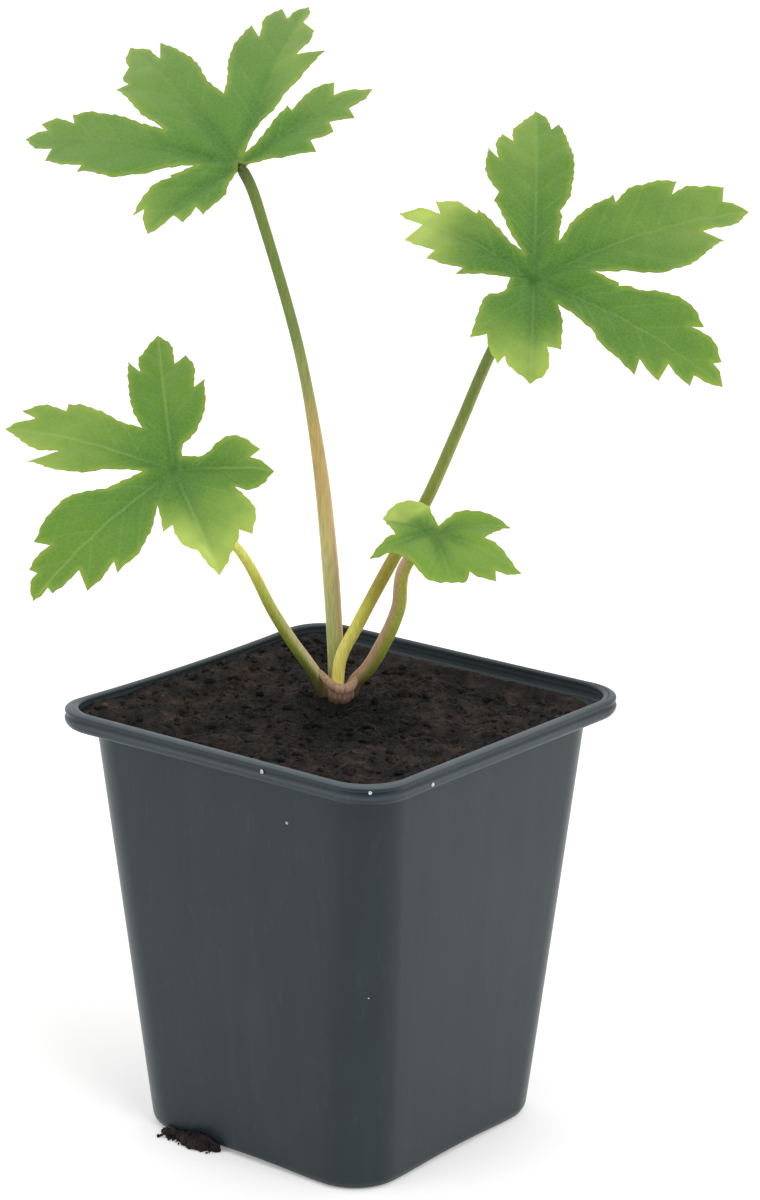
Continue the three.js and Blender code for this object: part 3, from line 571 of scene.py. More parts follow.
# A route runs from foot to leaf, and girth and skin give the radius and the colour at shares of it.
# The strip is on the right (1) or the left (-1) side, as strong as strip says, up to strip_end.
STALKS = {
    "left_high": dict(
        route=[(-12.1, 12.8, 91), (-11.8, 11.8, 104), (-11.9, 10, 122.5), (-12.9, 7.4, 145.5),
               (-14.9, 3, 170), (-19.3, -3.6, 197.5), (-21, -5.6, 205.4), (-22.4, -7.9, 210.3)],
        girth=[(0, 1.7), (0.24, 1.82), (0.4, 1.62), (0.58, 1.22), (0.8, 1.15), (1, 1.2)],
        strip_side=1, strip=0.7, strip_end=0.6, strip_colour="#d8b38c",
        skin=[(0, "#bbad74"), (1, "#4a5526"), (0.1, "#cfd690"), (0.26, "#dfd48c"), (0.4, "#cdb26c"),
              (0.5, "#c2a862"), (0.6, "#929652"), (0.7, "#72823c"), (0.83, "#6b7f33"), (0.93, "#697f2c"),
              (0.985, "#566327")]),
    "right_high": dict(
        route=[(-8.9, 9, 91), (-8.4, 9.6, 101), (-5.6, 12.2, 109), (0.4, 16.4, 123.5), (6.5, 20.1, 137),
               (13.6, 21.7, 153.5), (22.4, 22.1, 172.5), (31.7, 23.1, 188.4)],
        girth=[(0, 1.35), (0.3, 1.42), (0.6, 1.3), (1, 1.15)],
        strip_side=1, strip=0.35, strip_end=1.3, strip_colour="#cfc470",
        # Its foot is painted a near-white yellow: painted light, to make up for the shade of the other stalks
        skin=[(0, "#ceb258"), (1, "#5f7030"), (0.04, "#fff07a"), (0.12, "#fff27e"), (0.2, "#efe968"),
              (0.27, "#b4a942"), (0.38, "#a39a3c"), (0.5, "#87923a"), (0.7, "#6d8030"), (0.86, "#66772a")]),
    "left_low": dict(
        route=[(-12.4, 9.3, 91), (-13.3, 7.8, 96), (-16.1, 2.1, 105.5), (-17.7, -2.4, 113),
               (-18.9, -9.7, 125.5), (-21.4, -18.4, 136.7), (-24, -27.1, 148.2)],
        girth=[(0, 1.5), (0.5, 1.15), (1, 0.72)],
        strip_side=1, strip=0.9, strip_end=0.5, strip_colour="#e4d09e",
        # Its foot is dark brown: soil stain, with painted shade
        skin=[(0, "#4a3c2c"), (1, "#f4f08c"), (0.05, "#5f5a34"), (0.1, "#6c7a30"), (0.25, "#97a63e"),
              (0.4, "#b3bb4a"), (0.58, "#dcdb66"), (0.8, "#f2ee80")]),
    "young": dict(
        route=[(-8.6, 12.5, 91), (-7, 12.8, 95.2), (-4.1, 13.4, 98.5), (-0.7, 13.6, 103.7), (4.8, 12.8, 114),
               (8.4, 10, 124), (16.3, 9.5, 134.1)],
        girth=[(0, 1.6), (0.3, 1.65), (0.6, 1.55), (1, 1.3)],
        strip_side=-1, strip=0.95, strip_end=1.2, strip_colour="#c9a284",
        skin=[(0, "#4f4030"), (1, "#8f9c52"), (0.08, "#6b6038"), (0.18, "#8c8c46"), (0.34, "#a8b24a"),
              (0.5, "#c3cc5a"), (0.75, "#c9c65f")]),
}


def smooth_route(route, step):
    """Centripetal curve through the points of a route, as points about a step apart"""
    route = [Vector(point) for point in route]
    ends = [2 * route[0] - route[1], *route, 2 * route[-1] - route[-2]]
    dense = []
    for a, b, c, d in zip(ends, ends[1:], ends[2:], ends[3:]):
        t0 = max((b - a).length, 1e-3) ** 0.5
        t1 = t0 + max((c - b).length, 1e-3) ** 0.5
        t2 = t1 + max((d - c).length, 1e-3) ** 0.5
        for i in range(24):
            t = lerp(t0, t1, i / 24)
            ab = lerp(a, b, t / t0)
            bc = lerp(b, c, (t - t0) / (t1 - t0))
            cd = lerp(c, d, (t - t1) / (t2 - t1))
            early, late = lerp(ab, bc, t / t1), lerp(bc, cd, (t - t0) / (t2 - t0))
            dense.append(lerp(early, late, (t - t0) / (t1 - t0)))
    dense.append(route[-1])
    lengths = [0]
    for here, there in zip(dense, dense[1:]):
        lengths.append(lengths[-1] + (there - here).length)
    count = max(1, round(lengths[-1] / step))
    path, spot = [], 0
    for i in range(count + 1):
        want = lengths[-1] * i / count
        while spot + 2 < len(lengths) and lengths[spot + 1] < want:
            spot += 1
        share = (want - lengths[spot]) / max(lengths[spot + 1] - lengths[spot], 1e-9)
        path.append(dense[spot].lerp(dense[spot + 1], min(1, share)))
    return path


def tube_rings(path, radius_at, sides):
    """Rings round a path that don't twist; the radius is a function of the step and the angle"""
    heading = (path[1] - path[0]).normalized()
    normal = heading.orthogonal().normalized()
    rings = []
    for i, middle in enumerate(path):
        ahead = (path[min(i + 1, len(path) - 1)] - path[max(i - 1, 0)]).normalized()
        normal = heading.rotation_difference(ahead) @ normal
        heading = ahead
        side = heading.cross(normal)
        ring = []
        for k in range(sides):
            angle = 2 * math.pi * k / sides
            ring.append(middle + (normal * math.cos(angle) + side * math.sin(angle)) * radius_at(i, angle))
        rings.append(ring)
    return rings


def living_stalk(name, skin, strip_colour):
    """Young plant tissue under a thin waxy skin: a soft satin gloss, fine lengthwise ribs, colour
    that runs from foot to leaf, and a dry strip of another colour down one side"""
    material, tree, shader = new_material("living_stalk_" + name)
    rib_width, blotch = 0.35, 6
    place = add_node(tree, "TexCoord").outputs["Object"]
    reach = add_node(tree, "Attribute", attribute_name="reach").outputs["Fac"]
    strip = add_node(tree, "Attribute", attribute_name="strip").outputs["Fac"]
    blotches = add_node(tree, "TexNoise", {"Vector": place, "Scale": 1000 / blotch, "Detail": 3})
    drift = add_node(tree, "Math", {0: blotches, 1: 0.06, 2: -0.03}, operation="MULTIPLY_ADD")
    spot = add_node(tree, "Math", {0: reach, 1: drift}, operation="ADD")
    green = add_node(tree, "ValToRGB", {0: spot}, skin)
    warm = add_node(tree, "MixRGB", {0: strip, 1: green, 2: hex_colour(strip_colour)})
    long_way = add_node(tree, "Mapping", {"Vector": place, "Scale": (1, 1, 0.07)})
    ribs = add_node(tree, "TexNoise", {"Vector": long_way, "Scale": 1000 / rib_width, "Detail": 2})
    shade = add_node(tree, "ValToRGB", {0: ribs}, [(0.35, "#e6e6e6"), (0.62, "#ffffff")])
    colour = add_node(tree, "MixRGB", {0: 1.0, 1: warm, 2: shade}, blend_type="MULTIPLY")
    bump = add_node(tree, "Bump", {"Strength": 0.3, "Distance": 0.0001, "Height": ribs})
    feed(tree, shader, {"Base Color": colour, "Roughness": 0.42, "Normal": bump, "IOR": 1.42,
                        "Subsurface Weight": 0.12, "Subsurface Scale": 0.0008,
                        "Subsurface Radius": (0.8, 1, 0.4)})
    return material


for name, stalk in STALKS.items():
    path = smooth_route(stalk["route"], STALK_STEP)[:-1]
    last = len(path) - 1

    def stalk_radius(i, angle):
        """The girth, with fine ribs, and rounded off at the leaf's end"""
        dome = min(1, (last - i + 0.3) / 2) ** 0.5
        ribs = 1 + 0.018 * math.cos(9 * angle) + 0.012 * math.cos(4 * angle + i / 30)
        return float(np.interp(i / last, *zip(*stalk["girth"]))) * dome * ribs

    rings = tube_rings(path, stalk_radius, STALK_SIDES)
    reach, strip = [], []
    for i, ring in enumerate(rings):
        fade = 1 - smoothstep(i / last, stalk["strip_end"] - 0.35, stalk["strip_end"])
        for point in ring:
            side = (point - path[i]).normalized().dot(RIGHT) * stalk["strip_side"]
            reach.append(i / last)
            strip.append(stalk["strip"] * fade * smoothstep(side, 0, 0.8))
    points, faces = loft(rings)
    reach += [0, 1]
    strip += [0, 0]
    skin = living_stalk(name, stalk["skin"], stalk["strip_colour"])
    piece = new_piece("leaf_stalk_" + name, points, faces, skin, reach=reach, strip=strip)
    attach(piece, "root")
    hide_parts("stalk_" + name)

# CROWN
# The short rootstock that the stalks grow from. The membranous sheath of the outer stalk's foot
# runs as a pinkish lip from stalk to stalk round the front, in a saddle just above the soil.
CROWN_TOP, CROWN_DEPTH = 95.8, 15
CORE_RIGHT, CORE_FRONT = 0.9, 1.7
CORE_HALF_WIDTH, CORE_HALF_DEPTH, CORE_SIDES = 3.4, 3.3, 32
# The core's rings are shares of its half width at heights above its foot. The lip's points are how
# far right and in front of the crown they lie, their height and its radius.
CORE = [(0.5, 0), (0.85, 3), (0.9, 7.5), (0.84, 10.3), (0.88, 12), (0.86, 13), (0.74, 13.7), (0.4, 14.2)]
LIP = [(-4.6, 0.9, 98.6, 0.4), (-3.3, 1.8, 97.4, 0.8), (-2, 2.9, 96.2, 1), (-0.6, 3.5, 95.2, 1.15),
       (1, 3.8, 94.5, 1.25), (2.7, 3.4, 94.9, 1.15), (4, 2.3, 96.2, 0.9), (5.2, 1.7, 97.9, 0.4)]
LIP_STEP, LIP_SIDES = 0.4, 24
FUSE_GRAIN, FUSE_SMOOTHING = 0.2, 30
crown_low = CROWN_TOP - CROWN_DEPTH


def sheath_skin():
    """Dry outer membrane over living tissue: pinkish brown where it clasps the stalks and darker towards
    the soil, where peat stains it and shade is painted in; matt, with fine upright fibres, drawn coarser
    so that they show"""
    material, tree, shader = new_material("membranous_leaf_sheath")
    fibre_width, blotch = 0.4, 2.5
    soil_line, sheath_end = 0.0905, 0.1
    place = add_node(tree, "TexCoord").outputs["Object"]
    height = add_node(tree, "SeparateXYZ", {0: place}).outputs["Z"]
    # Painted shade with peat stain: the colour darkens towards the soil line
    share = add_node(tree, "MapRange", {"Value": height, "From Min": soil_line, "From Max": sheath_end})
    blotches = add_node(tree, "TexNoise", {"Vector": place, "Scale": 1000 / blotch, "Detail": 4})
    spot = add_node(tree, "Math", {0: blotches, 1: 0.3, 2: share}, operation="MULTIPLY_ADD")
    sheath = add_node(tree, "ValToRGB", {0: spot}, [
        (0.22, "#33261f"), (1, "#c3a684"), (0.34, "#6d5347"), (0.5, "#ad8a79"), (0.68, "#bd9783")])
    long_way = add_node(tree, "Mapping", {"Vector": place, "Scale": (1, 1, 0.15)})
    fibres = add_node(tree, "TexNoise", {"Vector": long_way, "Scale": 1000 / fibre_width, "Detail": 3})
    shade = add_node(tree, "ValToRGB", {0: fibres}, [(0.35, "#cfcac6"), (0.6, "#ffffff")])
    colour = add_node(tree, "MixRGB", {0: 1.0, 1: sheath, 2: shade}, blend_type="MULTIPLY")
    bump = add_node(tree, "Bump", {"Strength": 0.5, "Distance": 0.00015, "Height": fibres})
    feed(tree, shader, {"Base Color": colour, "Roughness": 0.7, "Normal": bump})
    return material


def fuse(piece):
    """Melts the overlapping bodies of a piece into one skin"""
    remesh = piece.modifiers.new("fuse", "REMESH")
    remesh.mode = "VOXEL"
    remesh.voxel_size = FUSE_GRAIN * MM
    soften = piece.modifiers.new("soften", "SMOOTH")
    soften.iterations = FUSE_SMOOTHING
    bpy.context.view_layer.objects.active = piece
    for modifier in (remesh, soften):
        bpy.ops.object.modifier_apply(modifier=modifier.name)
    piece.data.shade_smooth()


crown_middle = Vector((CROWN_X, CROWN_Y, 0))
core = crown_middle + RIGHT * CORE_RIGHT + FRONT * CORE_FRONT
core_rings = []
for share, rise in CORE:
    ring = []
    for k in range(CORE_SIDES):
        angle = 2 * math.pi * k / CORE_SIDES
        reach = RIGHT * (CORE_HALF_WIDTH * math.cos(angle)) - FRONT * (CORE_HALF_DEPTH * math.sin(angle))
        ring.append(core + reach * share + Vector((0, 0, crown_low + rise)))
    core_rings.append(ring)
lip = smooth_route([crown_middle + RIGHT * right + FRONT * front + Vector((0, 0, z))
                    for right, front, z, _ in LIP], LIP_STEP)
lip_radii = [radius for *_, radius in LIP]
lip_places = [i / (len(LIP) - 1) for i in range(len(LIP))]
lip_rings = tube_rings(lip, lambda i, angle: float(np.interp(i / (len(lip) - 1), lip_places, lip_radii)),
                       LIP_SIDES)
heap = empty_heap()
for rings in (core_rings, lip_rings):
    add_points(heap, *loft(rings))
crown = new_piece("crown_with_sheath", heap["points"], heap["faces"], sheath_skin())
fuse(crown)
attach(crown, "root")
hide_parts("crown")

# LEAVES
# Palmate leaves of soft living tissue, 0.35 mm thick: five toothed lobes round the stalk, with a
# pressed-in rib and side veins to the teeth, and a paler underside where the ribs stand out.
THICKNESS, MARGIN_THICKNESS, HUB_THICKNESS = 0.35, 0.19, 1.1
TOOTH_BOW_ALONG, TOOTH_BOW_OUT = 0.06, 0.12
FINE_TOOTH, FINE_TOOTH_DEPTH = 2.7, 0.36
MARGIN_STEP, SEAM_STEP, NET_STEP, NET_LEAST = 0.3, 0.6, 0.62, 0.34
ROW_STEP, ROW_ASIDE, ROW_FAR = NET_STEP * 0.866, 0.4, 0.95
VEIN_SPACING, VEIN_SLANT = 4.5, 1.15
SEAM_BLEND, FAR = 3, 9
RIB_WIDTH, TROUGH_WIDTH, VEIN_WIDTH, QUILT_WIDTH, WAVE_WIDTH = 0.5, 1.9, 0.4, 1.8, 3
RIB_DEPTH, TROUGH_DEPTH, VEIN_DEPTH, QUILT_DEPTH, WAVE_DEPTH, UNEVEN_DEPTH = 0.28, 0.5, 0.12, 0.34, 0.45, 0.5
RIB_UNDERNEATH, VEIN_UNDERNEATH = 0.5, 0.15
UNDERSIDE_GREENS, UNDERSIDE_HUB = ("#86a166", "#8ca868", "#97b26e"), "#a9bd80"
# Aims are degrees round the leaf's middle. A side of a lobe is a list of points [along its rib, away
# from the rib]: a third number cuts the point back as a tooth and a fourth slants the cut. A gap is
# its aim and its distance from the middle; pale is how strongly a painted highlight lightens a lobe's
# right and left half.
# A leaf's trough is how dark the painted shade in the troughs along its ribs is
LEAVES = {
    "left_high": dict(
        middle=(-22.4, -7.9, 210.3), turn=24, tilt=36, rise=0.2, droop=0.26, fold=0.12,
        greens=("#517f2e", "#5c8438", "#6a8c41"), trough=0.6, bright_rib=0.05, hub="#6b8040",
        gaps=[(4, 2), (85, 2.6), (111.4, 19), (160, 18.4), (196.8, 8.6), (274, 2.5)],
        lobes=[
            dict(aim=48, length=34.5, pale=(0.1, 0.1),
                 right=[(4.7, 3.7), (6.6, 6.3), (13, 10.6, 3.5, -1), (19.5, 7.5, 3, -1),
                        (25.5, 6.5, 3.5, -1)],
                 left=[(6.2, 2), (11.4, 4), (17, 6, 2), (29, 6, 3.5, 2.5)]),
            dict(aim=86.5, length=51.5, pale=(0.15, 0),
                 right=[(9.7, 1.5), (15.6, 3.9), (24.5, 6.8), (33.5, 9.5, 6, 1.5), (41.5, 4.5, 3.5, -3)],
                 left=[(22.2, 9), (30, 10.7), (41, 9.5, 3, 4), (49.5, 5.5, 2.5, 4)]),
            dict(aim=133, length=49, pale=(0.05, 0.1),
                 right=[(24.2, 6.6), (31.7, 7.6), (45, 5.5, 3, 6)],
                 left=[(23.8, 10), (35.5, 10, 3), (38.5, 7, 3, -3)]),
            dict(aim=172, length=50, pale=(0.05, 0),
                 right=[(24.7, 5.6), (35.2, 7.2), (41, 6.5, 2.5, 1.5), (48, 4.5, 2, 2.5)],
                 left=[(12.7, 5.6), (17.8, 9.3), (23.5, 11.7), (32, 11, 2), (41.5, 7.5, 3.5)]),
            dict(aim=233, length=25, pale=(0.3, 0.4),
                 right=[(12.4, 7.3, 0.8, 0), (18.7, 7.8), (24, 6, 1, 2.5)],
                 left=[(5.5, 4), (8.5, 6.5), (15, 7, 3, 0.5), (19, 5, 3.5)]),
        ]),
    "right_high": dict(
        middle=(31.7, 23.1, 188.4), turn=47, tilt=36, rise=0.2, droop=0.28, fold=0.12,
        greens=("#487426", "#57802e", "#6a8e35"), trough=0.5, bright_rib=0.12, hub="#3c6627",
        gaps=[(187, 5.15), (292.8, 9.3), (358.5, 12.3), (54.1, 10.9), (102.8, 6.5)],
        lobes=[
            dict(aim=261, length=27.5, pale=(0.8, 0.8),
                 right=[(5.5, 6.5), (8, 10), (19, 13, 3.5, 1), (24, 7, 1.5, 2), (25, 4)],
                 left=[(11, 6), (19.5, 6, 3, 0.5), (25.5, 3)]),
            dict(aim=322, length=45.5, pale=(0, 0),
                 right=[(16.9, 6.9), (20.2, 9.6), (23.7, 10.6), (30.6, 12.2, 4.3, 1.2), (35, 9.6, 5.5, 0.6),
                        (40.4, 5.4, 3, 0.7)],
                 left=[(15.8, 7.5, 0.8, -0.5), (20.3, 8.8), (24, 10.6), (30.3, 12), (35.5, 9.2, 2, 2.5),
                       (39.5, 7.4), (42.3, 5.2, 1.7, 1.2)]),
            dict(aim=23.5, length=55, pale=(0.05, 0.05),
                 right=[(15.9, 7.7), (19.4, 10), (23.8, 12.3), (31, 12.5), (42.8, 7.6, 3.9, 3)],
                 left=[(15.4, 9.2), (26.5, 11.5, 2, 0.6), (35, 12.2), (43, 11.3, 3.5, 3.6), (47.5, 9),
                       (53.5, 7.8, 3.9, 3)]),
            dict(aim=81, length=54, pale=(0, 0.1),
                 right=[(16.5, 5.6, 0.6, -1.5), (25.3, 7.6), (32.6, 8.2), (41, 7.1), (48.8, 5.1, 1.7, 2.2)],
                 left=[(12, 6), (19, 9, 1, -2.5), (28.5, 11.2), (35.5, 10.6, 2.4, 3.2), (41.8, 7.5, 2.5, 2),
                       (47, 3.9)]),
            dict(aim=139, length=33.5, pale=(1, 1),
                 right=[(9.5, 5), (19.5, 8.5, 1.5, 0.5), (28.5, 6, 2.5, 3)],
                 left=[(8, 6.5), (12.5, 11, 2.5), (20, 10.5, 3), (27, 8, 6.5)]),
        ]),
    "left_low": dict(
        middle=(-24, -27.1, 148.2), turn=31, tilt=38, rise=0.18, droop=0.26, fold=0.12,
        greens=("#507a2d", "#5b8430", "#64882f"), trough=0.4, bright_rib=0.2, hub="#436c2e",
        gaps=[(339.5, 14.7), (63, 3.5), (130, 12), (195.6, 6.2), (262, 11)],
        lobes=[
            dict(aim=5.5, length=21, pale=(0.1, 0.35),
                 right=[(16.3, 6.3), (18.7, 4.6)],
                 left=[(6.5, 3.5), (9.5, 6.5), (13, 8), (18, 5, 2.5, 2)]),
            dict(aim=103.5, length=40, pale=(0.05, 0),
                 right=[(5, 2.5), (8.5, 6), (14, 8.5), (22, 9, 2.5, 2), (31, 5.5, 2.5, 2)],
                 left=[(15.5, 7), (23, 7.5), (31.5, 7, 2.5, 4), (34.5, 3.5)]),
            dict(aim=163.5, length=40, pale=(0.25, 0.3),
                 right=[(15, 7), (22, 8.5), (28.5, 8.5, 2, 0.5), (38.5, 5.5, 2, 4.5)],
                 left=[(11.9, 5.3), (17.4, 8.4), (23.5, 9.6), (30, 8.5, 5, 5.5), (31.5, 4.5)]),
            dict(aim=233, length=41.5, pale=(0, 0),
                 right=[(13.5, 6.5), (18.5, 10), (24.5, 11), (32, 9, 3.5, 1.5), (37, 5.5, 2, 0.5), (40, 2.5)],
                 left=[(15.5, 9.5), (21.5, 11.5), (27, 11, 2.5, 1.5), (33.5, 8.5, 5, 2.5),
                       (38, 2.5, 2, 0.5)]),
            dict(aim=297, length=28.5, pale=(1.2, 0.6),
                 right=[(15.5, 7.5, 2.5, 1), (20, 4.5), (22, 2.5), (25.5, 1.5)],
                 left=[(15.2, 11.8), (19.2, 12), (22.8, 9.6, 2.2, 2.2), (24, 5), (27, 2.5)]),
        ]),
    "young": dict(
        middle=(16.6, 9.5, 134.5), turn=39, tilt=33, rise=0.15, droop=0.35, fold=0.15,
        greens=("#6e9240", "#72963d", "#648c34"), trough=0.7, bright_rib=0.1, hub="#4f7d3c",
        gaps=[(241.8, 10.5), (304.9, 13.3), (350, 11), (53, 2), (189, 8)],
        lobes=[
            dict(aim=287, length=13, pale=(0, 0), right=[(11, 5.3), (12.5, 3)], left=[(13.8, 3.2)]),
            dict(aim=335.5, length=20.4, pale=(0.1, 0.1),
                 right=[(14, 7.6), (17.3, 6.4, 2.7, 1.3)], left=[(13, 3), (15, 2.5), (18, 1)]),
            dict(aim=13, length=17, pale=(0, 0),
                 right=[(13.5, 2)], left=[(4, 3), (6, 4), (9.5, 4), (13, 3.5)]),
            dict(aim=152, length=12, pale=(5, 0.3),
                 right=[(2, 4), (4, 5.5), (6.5, 6), (9.5, 5), (11.5, 4)], left=[(9.5, 2.5)]),
            dict(aim=202, length=14.4, pale=(0, 0), right=[(8.9, 2.2), (13, 1)], left=[(10.4, 2), (13, 1.2)]),
        ]),
}


def blade_lift(leaf, lobe, along, across):
    """Height of the blade's top over the leaf's plane, as in the part's source"""
    share = along / lobe["length"]
    lift = lobe["length"] * share * (leaf["rise"] - leaf["droop"] * share)
    return lift + leaf["fold"] * (math.hypot(across, 1.5) - 1.5)


def fine_toothed(line, inwards):
    """A stretch of margin with small teeth that point forwards, cut inwards out of it"""
    total = MARGIN_STEP * (len(line) - 1)
    toothed = [line[0]]
    for i in range(1, len(line) - 1):
        travelled = MARGIN_STEP * i
        ahead = (line[i + 1] - line[i - 1]).normalized()
        share = (travelled / FINE_TOOTH) % 1
        fade = smoothstep(travelled, 0, 3) * smoothstep(total - travelled, 0, 0.9)
        cut = Vector((ahead.y, -ahead.x, 0)) * inwards * FINE_TOOTH_DEPTH * (1 - share) * fade
        toothed.append(line[i] + cut)
    toothed.append(line[-1])
    for _ in range(2):
        middles = [a * 0.2 + b * 0.6 + c * 0.2 for a, b, c in zip(toothed, toothed[1:], toothed[2:])]
        toothed = [toothed[0], *middles, toothed[-1]]
    return toothed


def margin(lobe, sinus, side):
    """Points along one side of a lobe, from the sinus to the tip, and the teeth that veins run to"""
    sign = 1 if side == "left" else -1
    line, run, behind_tooth, teeth = [sinus], [sinus], False, []
    for along, across, *cut in [*lobe[side], (lobe["length"], 0)]:
        there = Vector((along, sign * across, 0))
        if behind_tooth:
            gone = (there - run[-1]).length
            run.append((there + run[-1]) / 2 + Vector((TOOTH_BOW_ALONG, sign * TOOTH_BOW_OUT, 0)) * gone)
        run.append(there)
        if across > 3 and (not teeth or (there - teeth[-1]).length > VEIN_SPACING):
            teeth.append(there)
        behind_tooth = bool(cut)
        if behind_tooth:
            back = cut[1] if len(cut) > 1 else 0.2
            foot = Vector((along - back, sign * (across - cut[0]), 0))
            line += fine_toothed(smooth_route(run, MARGIN_STEP), sign)[1:]
            line += smooth_route([there, foot], MARGIN_STEP)[1:]
            run = [foot]
    return line + fine_toothed(smooth_route(run, MARGIN_STEP), sign)[1:], teeth


def least_gap(points, lines):
    """Distance from each point to the nearest of some straight lines, given by their ends"""
    starts = np.array([start[:2] for start, _ in lines])
    spans = np.array([end[:2] for _, end in lines]) - starts
    offsets = points[:, None] - starts
    shares = np.clip((offsets * spans).sum(2) / np.maximum((spans ** 2).sum(1), 1e-9), 0, 1)
    return np.linalg.norm(offsets - shares[:, :, None] * spans, axis=2).min(1)


def inside(points, outline):
    """Which points lie inside a closed outline"""
    x, y = points[:, 0, None], points[:, 1, None]
    x0, y0 = outline.T
    x1, y1 = np.roll(outline, -1, axis=0).T
    level = np.where(y1 == y0, 1, y1 - y0)
    crossed = ((y0 > y) != (y1 > y)) & (x < x0 + (y - y0) / level * (x1 - x0))
    return crossed.sum(1) % 2 == 1


def beside(line, spacing, asides):
    """Points along a straight vein and in rows beside it"""
    start, end = line
    ahead = (end - start).normalized()
    count = max(1, round((end - start).length / spacing))
    return [start.lerp(end, i / count) + Vector((-ahead.y, ahead.x, 0)) * aside
            for i in range(1, count) for aside in asides]


def lobe_lines(leaf, number):
    """A lobe in its own frame: its outline as (key, point) from the middle round to the middle, the
    pieces of its free margin, its seams with its neighbours, its ribs and its side veins"""
    lobe, middle = leaf["lobes"][number], Vector((0, 0, 0))
    tip = Vector((lobe["length"], 0, 0))
    outline, free, seams, veins = [("middle", middle)], [], [], []
    for side, gap_number in (("right", number), ("left", (number + 1) % len(leaf["gaps"]))):
        aim, radius = leaf["gaps"][gap_number]
        swing = math.radians(aim - lobe["aim"])
        sinus = Vector((math.cos(swing), math.sin(swing), 0)) * radius
        count = max(1, round(radius / SEAM_STEP))
        chain = [((gap_number, k), sinus * k / count) for k in range(1, count + 1)]
        line, teeth = margin(lobe, sinus, side)
        chain += [((number, side, k), point) for k, point in enumerate(line[1:-1])]
        on_margin = [point for _, point in chain[count - 1:]] + [tip]
        open_leaf = len(leaf["gaps"]) > len(leaf["lobes"])
        if open_leaf and gap_number in (0, len(leaf["gaps"]) - 1):
            on_margin = [middle, sinus, *on_margin[1:]]
        else:
            neighbour = leaf["lobes"][number - 1 if side == "right" else (number + 1) % len(leaf["lobes"])]
            seams.append(((middle, sinus), neighbour))
        free += list(zip(on_margin, on_margin[1:]))
        outline += chain + [((number, "tip"), tip)] if side == "right" else chain[::-1]
        for tooth in teeth:
            rise = max(tooth.x - VEIN_SLANT * abs(tooth.y), 0.25 * tooth.x)
            veins.append((Vector((rise, 0, 0)), tooth))
    ribs = []
    for other in leaf["lobes"]:
        swing = math.radians(other["aim"] - lobe["aim"])
        ribs.append((middle, Vector((math.cos(swing), math.sin(swing), 0)) * (other["length"] - 0.6)))
    return outline, free, seams, ribs, veins


def net_points(lobe, outline, free, seams, veins):
    """Points to hang a lobe's skin on: rows along its rib and veins, and an even net between them"""
    rib = (Vector(), Vector((lobe["length"], 0, 0)))
    wanted = beside(rib, NET_STEP, (0, ROW_ASIDE, -ROW_ASIDE, ROW_FAR, -ROW_FAR))
    for vein in veins:
        wanted += beside(vein, NET_STEP, (0, ROW_ASIDE, -ROW_ASIDE))
    xs, ys = zip(*(point[:2] for _, point in outline))
    for row in range(int((max(ys) - min(ys)) / ROW_STEP) + 1):
        for column in range(int((max(xs) - min(xs)) / NET_STEP) + 1):
            x = min(xs) + (column + 0.5 * (row % 2)) * NET_STEP
            wanted.append(Vector((x, min(ys) + row * ROW_STEP, 0)))
    wanted = np.array([point[:2] for point in wanted])
    keep = inside(wanted, np.array([point[:2] for _, point in outline]))
    keep &= least_gap(wanted, free + [seam for seam, _ in seams]) > 0.55 * NET_STEP
    taken, kept = {}, []
    for x, y in wanted[keep]:
        column, row = int(x // ROW_ASIDE), int(y // ROW_ASIDE)
        near = [taken.get((column + i, row + j)) for i in (-1, 0, 1) for j in (-1, 0, 1)]
        if all(spot is None or math.hypot(spot[0] - x, spot[1] - y) > NET_LEAST for spot in near):
            taken[column, row] = (x, y)
            kept.append(Vector((x, y)))
    return kept


def turned(along, across, degrees):
    """A flat place seen in a frame that is turned by a number of degrees"""
    angle = math.radians(degrees)
    return (along * math.cos(angle) - across * math.sin(angle),
            along * math.sin(angle) + across * math.cos(angle))


def lobe_net(leaf, number):
    """A lobe's net: its spots, a key for each that neighbours share where they meet, its faces, and
    each spot's gaps to the ribs, the side veins, the free margin and the seams"""
    outline, free, seams, ribs, veins = lobe_lines(leaf, number)
    corners = [point.to_2d() for _, point in outline]
    corners += net_points(leaf["lobes"][number], outline, free, seams, veins)
    net = delaunay_2d_cdt(corners, [], [list(range(len(outline)))], 1, 1e-5)
    spots = np.array([point[:] for point in net[0]])
    keys = []
    for i, origin in enumerate(net[3]):
        on_outline = origin and origin[0] < len(outline)
        keys.append(outline[origin[0]][0] if on_outline else (number, "net", i))
    vein_gaps = least_gap(spots, veins) if veins else np.full(len(spots), FAR)
    gaps = zip(least_gap(spots, ribs), vein_gaps, least_gap(spots, free))
    seam_gaps = [(neighbour, least_gap(spots, [seam])) for seam, neighbour in seams]
    return spots, keys, net[2], list(gaps), seam_gaps


